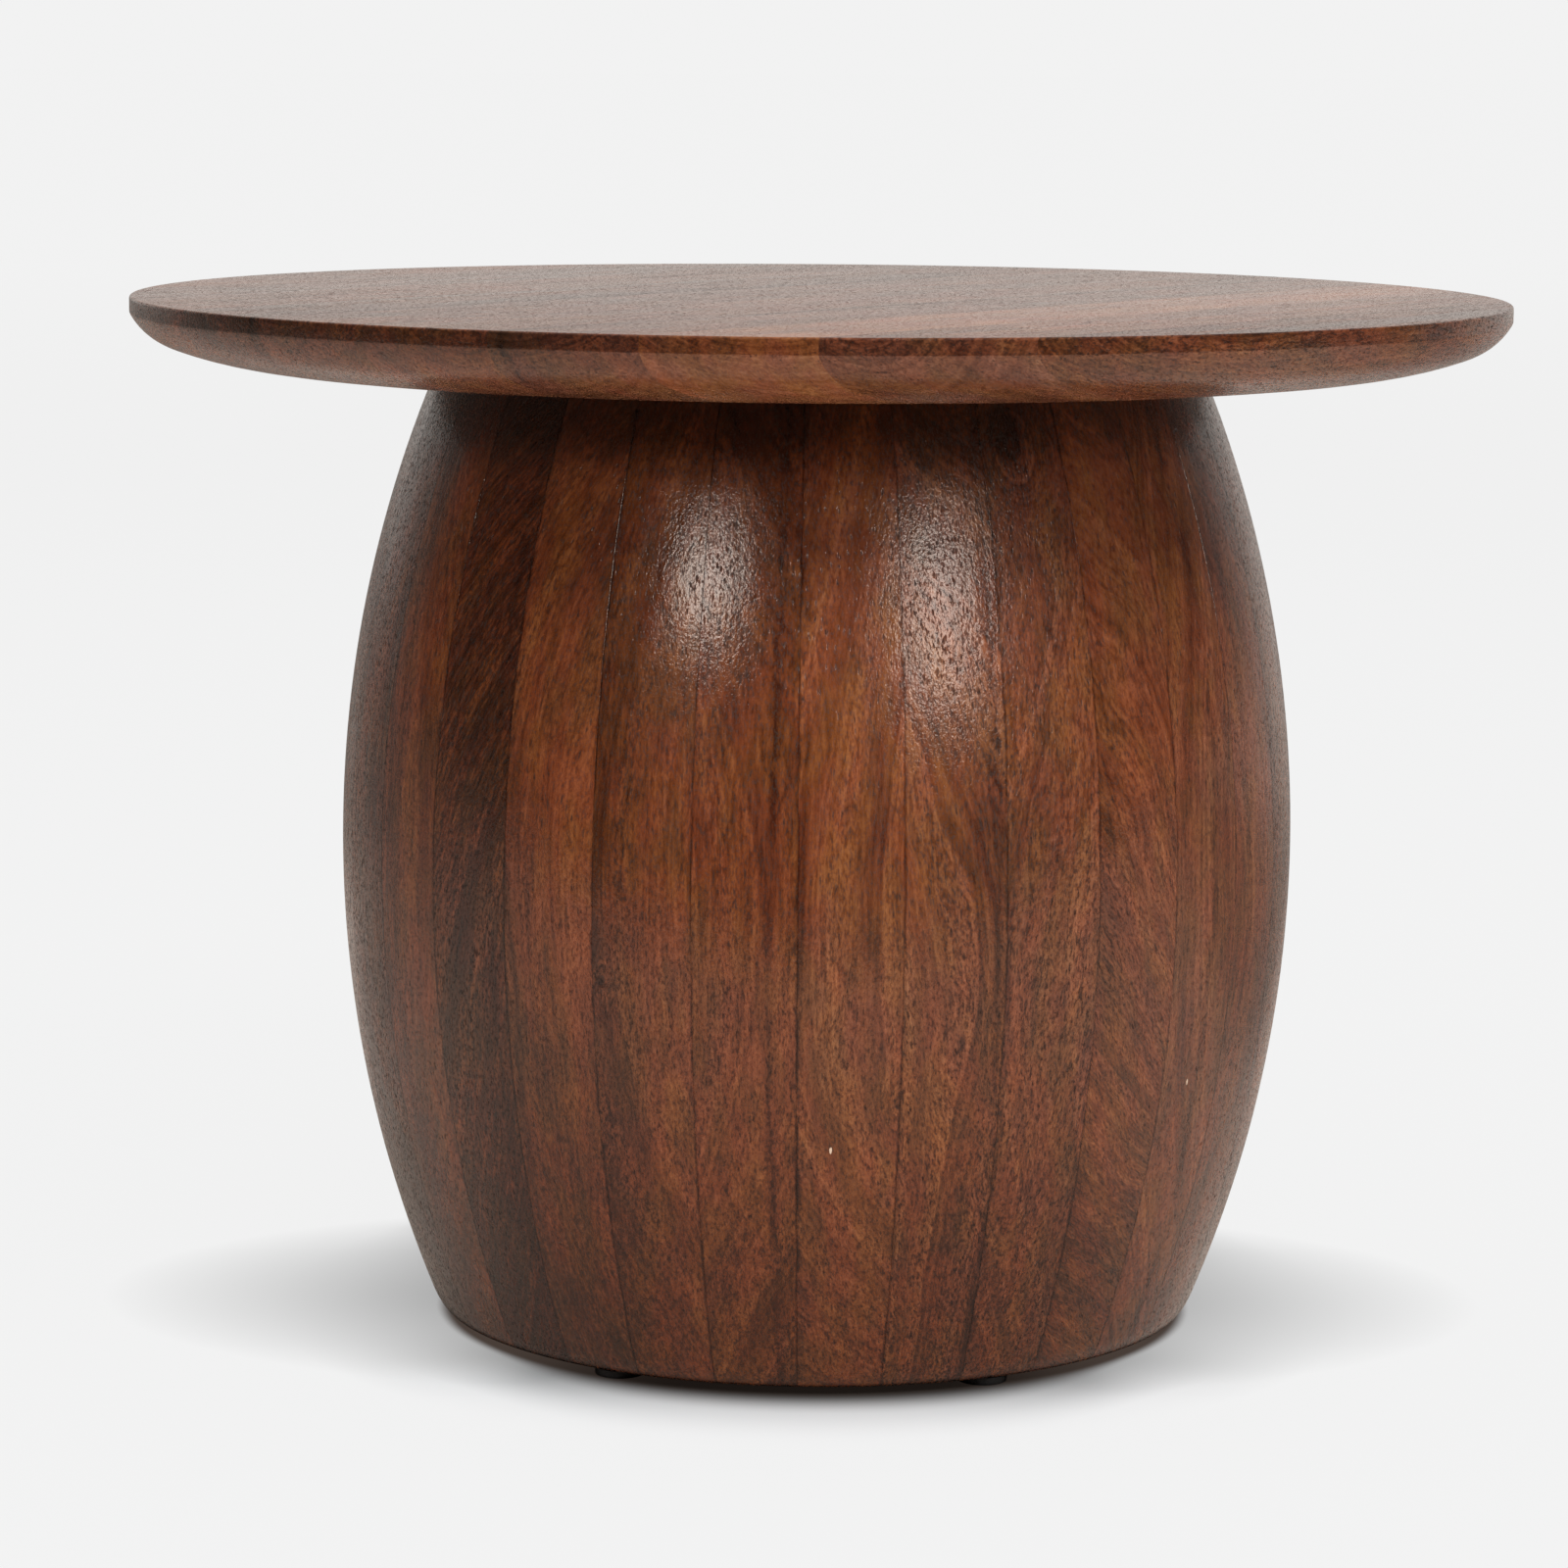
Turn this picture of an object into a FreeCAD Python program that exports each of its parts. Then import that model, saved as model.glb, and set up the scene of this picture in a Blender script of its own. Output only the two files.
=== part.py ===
import FreeCAD, Part
import Sketcher
import math
import os
from FreeCAD import Placement, Rotation, Vector

# Round accent table in solid mango wood. A round top of edge-glued boards, turned with a deep
# undercut below its edge, is screwed to a barrel-shaped drum. The drum is a ring of straight
# staves, glued on radial seams and turned outside to one arc. It stands on nailed glides.
# Millimetres and degrees. +Z is up, the origin is on the floor below the centre, -Y is the front.

doc = FreeCAD.newDocument("round_accent_table")
sheet = doc.addObject("Spreadsheet::Sheet", "sizes")

driving_sizes = {
    # whole table
    "table_height": 381,
    "top_diameter": 508,
    # top: boards, edge and undercut
    "top_thickness": 25,
    "rim_height": 6,
    "undercut_width": 54.6,
    "undercut_edge_arc": 25,
    "undercut_rim_angle": 62,
    "top_arris": 1,
    "board_count": 10,
    "board_angle": 53,
    # drum: outer arc, wall and staves
    "end_diameter": 282,
    "belly_swell": 36,
    "end_wall": 22,
    "foot_bevel": 2,
    "stave_count": 30,
    "first_stave_angle": 4,
    # plate that joins the drum to the top, let into the drum's upper end
    "plate_thickness": 18,
    "ledge_width": 12,
    "plate_clearance": 0.3,
    # screws that hold the plate down on the ledge, one in every so many staves
    "fixing_stave_step": 5,
    "first_fixing_stave": 2,
    "plate_screw_diameter": 4,
    "plate_screw_head": 8,
    "plate_screw_length": 40,
    # screws and washers that hold the top down on the plate, from below
    "top_screw_count": 8,
    "top_screw_inset": 19,
    "top_screw_diameter": 5,
    "top_screw_head": 9.5,
    "top_screw_head_height": 3,
    "top_screw_length": 35,
    "top_screw_slack": 1.5,
    "washer_diameter": 16,
    "washer_thickness": 1.2,
    # glides under the foot and the nails that hold them
    "glide_diameter": 18,
    "glide_height": 3,
    "nail_diameter": 2.2,
    "nail_head": 6,
    "nail_head_height": 0.8,
    "nail_recess": 0.7,
    "nail_length": 15,
    # making: what the lathe takes off, room around a fastener, overrun of a cut
    "turning_allowance": 6,
    "fastener_clearance": 0.1,
    "cut_overrun": 5,
}
for row, (name, size) in enumerate(driving_sizes.items(), start=1):
    sheet.set("A%d" % row, name)
    sheet.set("B%d" % row, str(size))
    sheet.setAlias("B%d" % row, name)

# Heights and radii that follow from the driving sizes, as formulas in the same sheet.
worked_out_sizes = {
    "top_radius": "top_diameter / 2",
    "top_underside": "table_height - top_thickness",
    "undercut_depth": "top_thickness - rim_height",
    "undercut_radius": "top_radius - undercut_width",
    "undercut_run": "undercut_width - undercut_edge_arc * sin(undercut_rim_angle)",
    "undercut_rise": "undercut_depth - undercut_edge_arc * (1 - cos(undercut_rim_angle))",
    "undercut_inner_arc": "undercut_edge_arc + (undercut_run ^ 2 + undercut_rise ^ 2) / (2 * undercut_rise)",
    "undercut_reach_share": "undercut_inner_arc / (undercut_inner_arc - undercut_edge_arc)",
    "board_width": "top_diameter / board_count",
    "board_reach": "top_radius + turning_allowance",
    "foot_level": "glide_height",
    "drum_half_height": "(top_underside - foot_level) / 2",
    "drum_middle": "foot_level + drum_half_height",
    "end_radius": "end_diameter / 2",
    "belly_radius": "end_radius + belly_swell",
    "barrel_arc": "(drum_half_height ^ 2 + belly_swell ^ 2) / (2 * belly_swell)",
    "stave_half_angle": "180 / stave_count",
    "stave_inside": "end_radius - end_wall",
    "stave_reach": "belly_radius + turning_allowance",
    "ledge_level": "top_underside - plate_thickness",
    "rebate_radius": "stave_inside + ledge_width",
    "plate_radius": "rebate_radius - plate_clearance",
    "plate_screw_circle": "stave_inside + ledge_width / 2",
    "top_screw_circle": "stave_inside - top_screw_inset",
    "glide_circle": "end_radius - end_wall / 2",
    "washer_underside": "ledge_level - washer_thickness",
    "nail_head_level": "nail_recess + nail_head_height",
    "nail_end": "nail_head_level + nail_length",
}
for row, (name, formula) in enumerate(worked_out_sizes.items(), start=len(driving_sizes) + 1):
    sheet.set("A%d" % row, name)
    sheet.set("B%d" % row, "=" + formula)
    sheet.setAlias("B%d" % row, name)
doc.recompute()


def size_of(name):
    """The present value of a named size."""
    return float(sheet.get(name))


def amount(formula):
    """The present value of a formula in named sizes, each written sizes.name."""
    result = sheet.evalExpression(formula)
    return float(getattr(result, "Value", result))


# Sketches, outlines and turned features

def origin_feature(body, role):
    """A body's own origin plane or axis, by its role."""
    for feature in body.Origin.OriginFeatures:
        if feature.Role == role:
            return feature


def new_body(label, angle=0):
    """An empty body turned about the table's upright axis."""
    body = doc.addObject("PartDesign::Body", label)
    body.Label = label
    body.Placement = Placement(Vector(), Rotation(Vector(0, 0, 1), angle))
    return body


def new_sketch(body, name, role, level=None):
    """A sketch on one of the body's origin planes, raised to a named level."""
    sketch = body.newObject("Sketcher::SketchObject", name)
    sketch.AttachmentSupport = [(origin_feature(body, role), "")]
    sketch.MapMode = "FlatFace"
    if level:
        sketch.setExpression("AttachmentOffset.Base.z", level)
    return sketch


def fix_point(sketch, side, end, across, up):
    """Tie one point of a side to the sketch's origin by two named distances."""
    for kind, axis, formula in (("DistanceX", -2, across), ("DistanceY", -1, up)):
        value = amount(formula)
        if formula == "0":
            sketch.addConstraint(Sketcher.Constraint("PointOnObject", side, end, axis))
        elif value > 0:
            row = sketch.addConstraint(Sketcher.Constraint(kind, -1, 1, side, end, value))
            sketch.setExpression("Constraints[%d]" % row, formula)
        else:
            row = sketch.addConstraint(Sketcher.Constraint(kind, side, end, -1, 1, -value))
            sketch.setExpression("Constraints[%d]" % row, "-(%s)" % formula)


def tie(sketch, kind, side, formula):
    """A radius of one side, tied to a formula."""
    row = sketch.addConstraint(Sketcher.Constraint(kind, side, amount(formula)))
    sketch.setExpression("Constraints[%d]" % row, formula)


def draw_outline(sketch, corners, curves=(), free_corners=()):
    """Close an outline through the corners. A curve takes the side that starts at its corner.
    A free corner is found by the constraints of the sides that meet there."""
    curve_at = dict(curves)
    spots = [Vector(amount(across), amount(up), 0) for across, up in corners]
    sides = []
    for index, start in enumerate(spots):
        stop = spots[(index + 1) % len(spots)]
        if index in curve_at:
            sides.append(curve_at[index](sketch, start, stop))
        else:
            sides.append(sketch.addGeometry(Part.LineSegment(start, stop)))
    for index, side in enumerate(sides):
        follower = sides[(index + 1) % len(sides)]
        sketch.addConstraint(Sketcher.Constraint("Coincident", side, 2, follower, 1))
        if index not in free_corners:
            fix_point(sketch, side, 1, *corners[index])
    return sides


def draw_axis(sketch, across, low, high):
    """An upright construction line to turn the outline about."""
    line = Part.LineSegment(Vector(amount(across), amount(low), 0), Vector(amount(across), amount(high), 0))
    axis = sketch.addGeometry(line, True)
    fix_point(sketch, axis, 1, across, low)
    fix_point(sketch, axis, 2, across, high)


def draw_circle(sketch, across, up, radius):
    """A circle at a named place."""
    circle = Part.Circle(Vector(amount(across), amount(up), 0), Vector(0, 0, 1), amount(radius))
    side = sketch.addGeometry(circle)
    fix_point(sketch, side, 3, across, up)
    tie(sketch, "Radius", side, radius)


def add_pad(body, name, sketch, length):
    """Raise a sketch upward by a named length."""
    pad = body.newObject("PartDesign::Pad", name)
    pad.Profile = sketch
    pad.setExpression("Length", length)
    body.Tip = pad
    return pad


def add_pocket(body, name, sketch, depth, upward=False):
    """Drill or cut downward from the sketch, or upward."""
    pocket = body.newObject("PartDesign::Pocket", name)
    pocket.Profile = sketch
    pocket.Reversed = upward
    pocket.setExpression("Length", depth)
    body.Tip = pocket
    return pocket


def add_turning(body, kind, name, sketch, axis=None):
    """Turn a sketch right round, about the table's axis or the sketch's own."""
    turning = body.newObject("PartDesign::" + kind, name)
    turning.Profile = sketch
    turning.ReferenceAxis = (sketch, [axis or "V_Axis"])
    turning.Angle = 360
    body.Tip = turning
    return turning


def add_ring(body, name, feature, count, step):
    """Repeat a feature about the table's axis: a count of copies, a named angle apart."""
    ring = body.newObject("PartDesign::PolarPattern", name)
    ring.Originals = [feature]
    ring.Axis = (origin_feature(body, "Z_Axis"), [""])
    ring.Mode = "Spacing"
    ring.Occurrences = count
    ring.setExpression("Offset", step)
    body.Tip = ring
    return ring


stave_count = int(size_of("stave_count"))
stave_pitch = 360 / stave_count
front = -90
half_turn = 180
overrun = "sizes.cut_overrun"
clearance = "sizes.fastener_clearance"

# Staves: each is a straight bar with bevelled sides, turned outside on the glued-up ring

def barrel_side(sketch, start, stop):
    """The drum's outer arc, bulging outward between its two ends."""
    centre = Vector(amount("sizes.belly_radius - sizes.barrel_arc"), amount("sizes.drum_middle"), 0)
    circle = Part.Circle(centre, Vector(0, 0, 1), amount("sizes.barrel_arc"))
    first = math.atan2(start.y - centre.y, start.x - centre.x)
    last = math.atan2(stop.y - centre.y, stop.x - centre.x)
    side = sketch.addGeometry(Part.ArcOfCircle(circle, first, last))
    tie(sketch, "Radius", side, "sizes.barrel_arc")
    row = sketch.addConstraint(Sketcher.Constraint("DistanceY", -1, 1, side, 3, centre.y))
    sketch.setExpression("Constraints[%d]" % row, "sizes.drum_middle")
    return side


def make_stave(label, angle, takes_fixings):
    """One stave, on the body's own -X side. The staves under the fixing screws are drilled at both ends."""
    body = new_body(label, angle + half_turn)

    section = new_sketch(body, label + "_section", "XY_Plane", "sizes.foot_level")
    inner = "sizes.stave_inside"
    outer = "sizes.stave_reach"
    slope = " * tan(sizes.stave_half_angle)"
    draw_outline(section, [("-" + inner, inner + slope), ("-" + outer, outer + slope),
                           ("-" + outer, "-" + outer + slope), ("-" + inner, "-" + inner + slope)])
    add_pad(body, label + "_bar", section, "2 * sizes.drum_half_height")

    profile = new_sketch(body, label + "_profile", "XZ_Plane")
    far = "2 * sizes.stave_reach"
    above = "sizes.top_underside + " + overrun
    below = "sizes.foot_level - " + overrun
    sides = draw_outline(
        profile,
        [("sizes.end_radius + sizes.foot_bevel", "sizes.foot_level + 2 * sizes.foot_bevel"),
         ("sizes.end_radius", "sizes.top_underside"),
         ("sizes.end_radius", above),
         (far, above),
         (far, below),
         ("sizes.end_radius - sizes.foot_bevel - " + overrun, below)],
        curves=[(0, barrel_side)],
        free_corners=[0])
    profile.addConstraint(Sketcher.Constraint("Angle", sides[-1], math.radians(45)))
    add_turning(body, "Groove", label + "_turned_side", profile)

    rebate = new_sketch(body, label + "_rebate", "XZ_Plane")
    hollow = "sizes.stave_inside / 2"
    draw_outline(rebate, [(hollow, "sizes.ledge_level"), ("sizes.rebate_radius", "sizes.ledge_level"),
                          ("sizes.rebate_radius", above), (hollow, above)])
    add_turning(body, "Groove", label + "_turned_rebate", rebate)

    if takes_fixings:
        pilot = new_sketch(body, label + "_screw_pilot", "XY_Plane", "sizes.ledge_level")
        draw_circle(pilot, "-sizes.plate_screw_circle", "0", "sizes.plate_screw_diameter / 2 + " + clearance)
        add_pocket(body, label + "_screw_hole", pilot,
                   "sizes.plate_screw_length - sizes.plate_thickness + " + clearance)
        nail = new_sketch(body, label + "_nail_pilot", "XY_Plane", "sizes.foot_level")
        draw_circle(nail, "-sizes.glide_circle", "0", "sizes.nail_diameter / 2 + " + clearance)
        add_pocket(body, label + "_nail_hole", nail,
                   "sizes.nail_end - sizes.foot_level + " + clearance, upward=True)
    return body


pieces = []
fixing_step = int(size_of("fixing_stave_step"))
first_fixing = int(size_of("first_fixing_stave"))
fixing_staves = range(first_fixing, stave_count, fixing_step)
for index in range(stave_count):
    angle = front + size_of("first_stave_angle") + index * stave_pitch
    pieces.append(make_stave("stave_%02d" % (index + 1), angle, index in fixing_staves))

first_fixing_angle = front + size_of("first_stave_angle") + first_fixing * stave_pitch
fixing_pitch = "%d * 360 / sizes.stave_count" % fixing_step


# Top boards: straight boards, edge-glued and turned together to a disc with an undercut edge

def undercut_side(radius):
    """An arc of a named radius that hangs below the line between its corners."""
    def draw(sketch, start, stop):
        chord = stop - start
        half = chord.Length / 2
        upward = Vector(-chord.y, chord.x, 0).normalize()
        centre = (start + stop) / 2 + upward * math.sqrt(amount(radius) ** 2 - half ** 2)
        circle = Part.Circle(centre, Vector(0, 0, 1), amount(radius))
        first = math.atan2(start.y - centre.y, start.x - centre.x)
        last = math.atan2(stop.y - centre.y, stop.x - centre.x)
        side = sketch.addGeometry(Part.ArcOfCircle(circle, first, last))
        tie(sketch, "Radius", side, radius)
        return side
    return draw


top_screw_count = int(size_of("top_screw_count"))
top_screw_angles = [(number + 0.5) * 360 / top_screw_count for number in range(top_screw_count)]


def make_board(label, low, high):
    """One board between two seams, given as formulas. Boards lie along local X."""
    body = new_body(label, size_of("board_angle"))

    plan = new_sketch(body, label + "_plan", "XY_Plane", "sizes.top_underside")
    reach = "sizes.board_reach"
    draw_outline(plan, [("-" + reach, low), (reach, low), (reach, high), ("-" + reach, high)])
    add_pad(body, label + "_blank", plan, "sizes.top_thickness")

    profile = new_sketch(body, label + "_profile", "XZ_Plane")
    far = "2 * sizes.board_reach"
    above = "sizes.table_height + " + overrun
    below = "sizes.top_underside - " + overrun
    draw_outline(
        profile,
        [("sizes.undercut_radius", "sizes.top_underside"),
         ("sizes.undercut_radius + sizes.undercut_run * sizes.undercut_reach_share",
          "sizes.top_underside + sizes.undercut_rise * sizes.undercut_reach_share"),
         ("sizes.top_radius", "sizes.top_underside + sizes.undercut_depth"),
         ("sizes.top_radius", "sizes.table_height - sizes.top_arris"),
         ("sizes.top_radius - sizes.top_arris", "sizes.table_height"),
         ("sizes.top_radius - sizes.top_arris", above),
         (far, above),
         (far, below),
         ("sizes.undercut_radius", below)],
        curves=[(0, undercut_side("sizes.undercut_inner_arc")), (1, undercut_side("sizes.undercut_edge_arc"))])
    add_turning(body, "Groove", label + "_turned_edge", profile)

    pilot_radius = "sizes.top_screw_diameter / 2 + " + clearance
    edge = amount(pilot_radius)
    held = []
    for angle in top_screw_angles:
        across = size_of("top_screw_circle") * math.sin(math.radians(angle))
        if amount(low) - edge < across < amount(high) + edge:
            held.append(angle)
    if held:
        pilots = new_sketch(body, label + "_screw_pilots", "XY_Plane", "sizes.top_underside")
        for angle in held:
            draw_circle(pilots, "sizes.top_screw_circle * cos(%g deg)" % angle,
                        "sizes.top_screw_circle * sin(%g deg)" % angle, pilot_radius)
        add_pocket(body, label + "_screw_holes", pilots,
                   "sizes.washer_underside + sizes.top_screw_length - sizes.top_underside + " + clearance,
                   upward=True)
    return body


board_count = int(size_of("board_count"))
for index in range(board_count):
    low = "(-sizes.top_radius + %d * sizes.board_width)" % index
    high = "(-sizes.top_radius + %d * sizes.board_width)" % (index + 1)
    if index == 0:
        low = "-sizes.board_reach"
    if index == board_count - 1:
        high = "sizes.board_reach"
    pieces.append(make_board("top_board_%02d" % (index + 1), low, high))


# Fixing plate: a plywood disc on the ledge inside the drum's upper end, flush with the end

plate = new_body("fixing_plate", first_fixing_angle)
disc = new_sketch(plate, "fixing_plate_disc", "XY_Plane", "sizes.ledge_level")
draw_circle(disc, "0", "0", "sizes.plate_radius")
add_pad(plate, "fixing_plate_sheet", disc, "sizes.plate_thickness")

slack_holes = new_sketch(plate, "fixing_plate_slack_holes", "XY_Plane", "sizes.top_underside")
for angle in top_screw_angles:
    turn = angle + size_of("board_angle") - first_fixing_angle
    draw_circle(slack_holes, "sizes.top_screw_circle * cos(%g deg)" % turn,
                "sizes.top_screw_circle * sin(%g deg)" % turn,
                "sizes.top_screw_diameter / 2 + sizes.top_screw_slack")
add_pocket(plate, "fixing_plate_top_screw_holes", slack_holes, "sizes.plate_thickness")

circle = "sizes.plate_screw_circle"
shank = "sizes.plate_screw_diameter / 2"
head = "sizes.plate_screw_head / 2"
countersink = new_sketch(plate, "fixing_plate_countersink", "XZ_Plane")
above = "sizes.top_underside + " + overrun
below = "sizes.ledge_level - " + overrun
draw_outline(countersink, [
    (circle, above),
    (circle, below),
    ("%s + %s + %s" % (circle, shank, clearance), below),
    ("%s + %s + %s" % (circle, shank, clearance), "sizes.top_underside - (%s - %s)" % (head, shank)),
    ("%s + %s + %s" % (circle, head, clearance), "sizes.top_underside"),
    ("%s + %s + %s" % (circle, head, clearance), above)])
draw_axis(countersink, circle, below, above)
first_hole = add_turning(plate, "Groove", "fixing_plate_screw_hole", countersink, "Axis0")
add_ring(plate, "fixing_plate_screw_holes", first_hole, len(fixing_staves), fixing_pitch)
pieces.append(plate)


def make_ring_of(label, angle, circle, corners, count, step):
    """A group of like round pieces: an outline turned about its own upright line, and repeated."""
    body = new_body(label, angle)
    body.AllowCompound = True
    outline = new_sketch(body, label + "_outline", "XZ_Plane")
    draw_outline(outline, [("%s + %s" % (circle, across) if across != "0" else circle, up)
                           for across, up in corners])
    draw_axis(outline, circle, corners[0][1], corners[-1][1])
    first = add_turning(body, "Revolution", label + "_first", outline, "Axis0")
    add_ring(body, label + "_ring", first, count, step)
    return body


# Plate screws: countersunk wood screws down through the plate into the ledge
screw_end = "sizes.top_underside - sizes.plate_screw_length"
pieces.append(make_ring_of("plate_screws", first_fixing_angle, circle, [
    ("0", "sizes.top_underside"),
    (head, "sizes.top_underside"),
    (shank, "sizes.top_underside - (%s - %s)" % (head, shank)),
    (shank, screw_end + " + sizes.plate_screw_diameter"),
    ("0", screw_end)], len(fixing_staves), fixing_pitch))

# Top screws: pan-head screws up through slack holes in the plate into the boards
circle = "sizes.top_screw_circle"
shank = "sizes.top_screw_diameter / 2"
head = "sizes.top_screw_head / 2"
under_head = "sizes.washer_underside"
screw_end = "sizes.washer_underside + sizes.top_screw_length"
top_screw_pitch = "360 / %d" % top_screw_count
first_top_screw = size_of("board_angle") + top_screw_angles[0]
pieces.append(make_ring_of("top_screws", first_top_screw, circle, [
    ("0", screw_end),
    (shank, screw_end + " - sizes.top_screw_diameter"),
    (shank, under_head),
    (head, under_head),
    (head, under_head + " - sizes.top_screw_head_height"),
    ("0", under_head + " - sizes.top_screw_head_height")], top_screw_count, top_screw_pitch))

# Washers: they cover the slack holes, so that the top can swell and shrink across its boards
hole = "sizes.top_screw_diameter / 2 + " + clearance
pieces.append(make_ring_of("top_screw_washers", first_top_screw, circle, [
    (hole, "sizes.ledge_level"),
    ("sizes.washer_diameter / 2", "sizes.ledge_level"),
    ("sizes.washer_diameter / 2", under_head),
    (hole, under_head)], top_screw_count, top_screw_pitch))

# Glides: hard nylon discs under the foot, with a recess for the nail's head
circle = "sizes.glide_circle"
hole = "sizes.nail_diameter / 2 + " + clearance
recess = "sizes.nail_head / 2 + " + clearance
pieces.append(make_ring_of("foot_glides", first_fixing_angle, circle, [
    (hole, "sizes.glide_height"),
    ("sizes.glide_diameter / 2", "sizes.glide_height"),
    ("sizes.glide_diameter / 2", "0"),
    (recess, "0"),
    (recess, "sizes.nail_head_level"),
    (hole, "sizes.nail_head_level")], len(fixing_staves), fixing_pitch))

# Nails: one up through each glide into the end grain of a stave
pieces.append(make_ring_of("glide_nails", first_fixing_angle, circle, [
    ("0", "sizes.nail_end"),
    ("sizes.nail_diameter / 2", "sizes.nail_end"),
    ("sizes.nail_diameter / 2", "sizes.nail_head_level"),
    ("sizes.nail_head / 2", "sizes.nail_head_level"),
    ("sizes.nail_head / 2", "sizes.nail_recess"),
    ("0", "sizes.nail_recess")], len(fixing_staves), fixing_pitch))

doc.recompute()

# Every object and every solid is sound before anything is written
for item in doc.Objects:
    if "Invalid" in item.State or "Error" in item.State:
        raise RuntimeError("%s failed: %s" % (item.Name, item.State))
for item in doc.Objects:
    if item.isDerivedFrom("PartDesign::Groove") or item.isDerivedFrom("PartDesign::Pocket"):
        if item.Shape.Volume >= item.BaseFeature.Shape.Volume:
            raise RuntimeError("%s takes nothing away" % item.Name)
os.makedirs("parts", exist_ok=True)
for piece in pieces:
    if piece.Shape.isNull() or not piece.Shape.isValid():
        raise RuntimeError("%s has no sound shape" % piece.Label)
for piece in pieces:
    piece.Shape.exportStep("parts/%s.step" % piece.Label)
    print("%-18s solids %2d  volume %9.0f" % (piece.Label, len(piece.Shape.Solids), piece.Shape.Volume))
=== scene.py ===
import math
import random

import bmesh
import bpy
from mathutils import Matrix, Vector


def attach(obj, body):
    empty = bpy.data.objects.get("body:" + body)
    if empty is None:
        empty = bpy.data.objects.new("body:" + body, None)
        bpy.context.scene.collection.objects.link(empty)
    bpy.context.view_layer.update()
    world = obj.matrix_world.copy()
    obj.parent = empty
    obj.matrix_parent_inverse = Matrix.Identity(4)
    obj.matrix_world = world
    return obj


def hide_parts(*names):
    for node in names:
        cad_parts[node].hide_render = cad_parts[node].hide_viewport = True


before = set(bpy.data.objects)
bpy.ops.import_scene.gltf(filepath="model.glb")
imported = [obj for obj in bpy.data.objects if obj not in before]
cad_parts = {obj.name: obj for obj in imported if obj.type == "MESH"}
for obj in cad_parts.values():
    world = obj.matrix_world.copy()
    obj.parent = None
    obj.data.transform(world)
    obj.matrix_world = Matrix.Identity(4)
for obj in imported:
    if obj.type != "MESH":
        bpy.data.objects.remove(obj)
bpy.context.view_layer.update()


# The thirty staves of the drum

# Mango wood staves, bevelled on both sides, glued edge to edge and turned outside to one barrel arc.
# Inside they stay flat. A ledge near the upper end carries the fixing plate.
# Stain and a satin open-pored lacquer went on after the turning.

stave_count = 30
first_stave_angle = 4.0  # degrees from the front, positive to the right
belly_radius = 0.177
belly_height = 0.1795
side_arc = 0.45067
drum_low, drum_high = 0.003, 0.356
foot_round, foot_round_high = 0.0024, 0.007
bore_flat = 0.119
rebate_radius = 0.131
ledge_height = 0.338
ledge_step = 0.00005  # the two rows at the ledge stay this far apart
eased_edge = 0.0001
sanding_wave, sanding_waves_per_metre = 0.00007, 28.0
foot_rows, facets_across, facets_along = 5, 8, 48
wood_crease = math.radians(28)
mm_per_metre = 1000.0


class Bench:
    """A node tree that is written one step at a time. Each step gives back its output."""

    def __init__(self, tree):
        self.tree = tree

    def feed(self, node, put):
        """Links or sets the inputs of a node."""
        for socket, value in put.items():
            if isinstance(value, bpy.types.NodeSocket):
                self.tree.links.new(value, node.inputs[socket])
            else:
                node.inputs[socket].default_value = value

    def step(self, kind, put=None, out=0, **settings):
        made = self.tree.nodes.new(kind)
        for name, value in settings.items():
            setattr(made, name, value)
        self.feed(made, put or {})
        return made.outputs[out]

    def sum(self, what, *values):
        return self.step("ShaderNodeMath", dict(enumerate(values)), operation=what)

    def plus(self, a, b):
        return self.sum("ADD", a, b)

    def minus(self, a, b):
        return self.sum("SUBTRACT", a, b)

    def times(self, a, b):
        return self.sum("MULTIPLY", a, b)

    def over(self, a, b):
        return self.sum("DIVIDE", a, b)

    def between(self, value, low, high, to_low=0.0, to_high=1.0, soft=True):
        """The share of the way from low to high, held at both ends."""
        put = {0: value, 1: low, 2: high, 3: to_low, 4: to_high}
        return self.step("ShaderNodeMapRange", put,
                         interpolation_type="SMOOTHSTEP" if soft else "LINEAR")

    def point(self, x, y, z):
        return self.step("ShaderNodeCombineXYZ", {0: x, 1: y, 2: z})

    def parts(self, vector):
        made = self.tree.nodes.new("ShaderNodeSeparateXYZ")
        self.tree.links.new(vector, made.inputs[0])
        return made.outputs

    def blend(self, share, a, b, how="MIX"):
        return self.step("ShaderNodeMix", {0: share, 6: a, 7: b}, out=2, data_type="RGBA",
                         blend_type=how)


def new_tree(name, kind, inputs, outputs):
    """An empty node tree with named inputs and outputs, and its bench."""
    tree = bpy.data.node_groups.new(name, kind)
    for socket, (what, value) in inputs.items():
        made = tree.interface.new_socket(socket, in_out="INPUT", socket_type="NodeSocket" + what)
        if value is not None:
            made.default_value = value
    for socket, what in outputs.items():
        tree.interface.new_socket(socket, in_out="OUTPUT", socket_type="NodeSocket" + what)
    return tree, Bench(tree), tree.nodes.new("NodeGroupInput").outputs


def new_finish(name):
    """A new material, its bench and its shader."""
    finish = bpy.data.materials.new(name)
    finish.use_nodes = True
    shader = next(n for n in finish.node_tree.nodes if n.type == "BSDF_PRINCIPLED")
    return finish, Bench(finish.node_tree), shader


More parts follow.
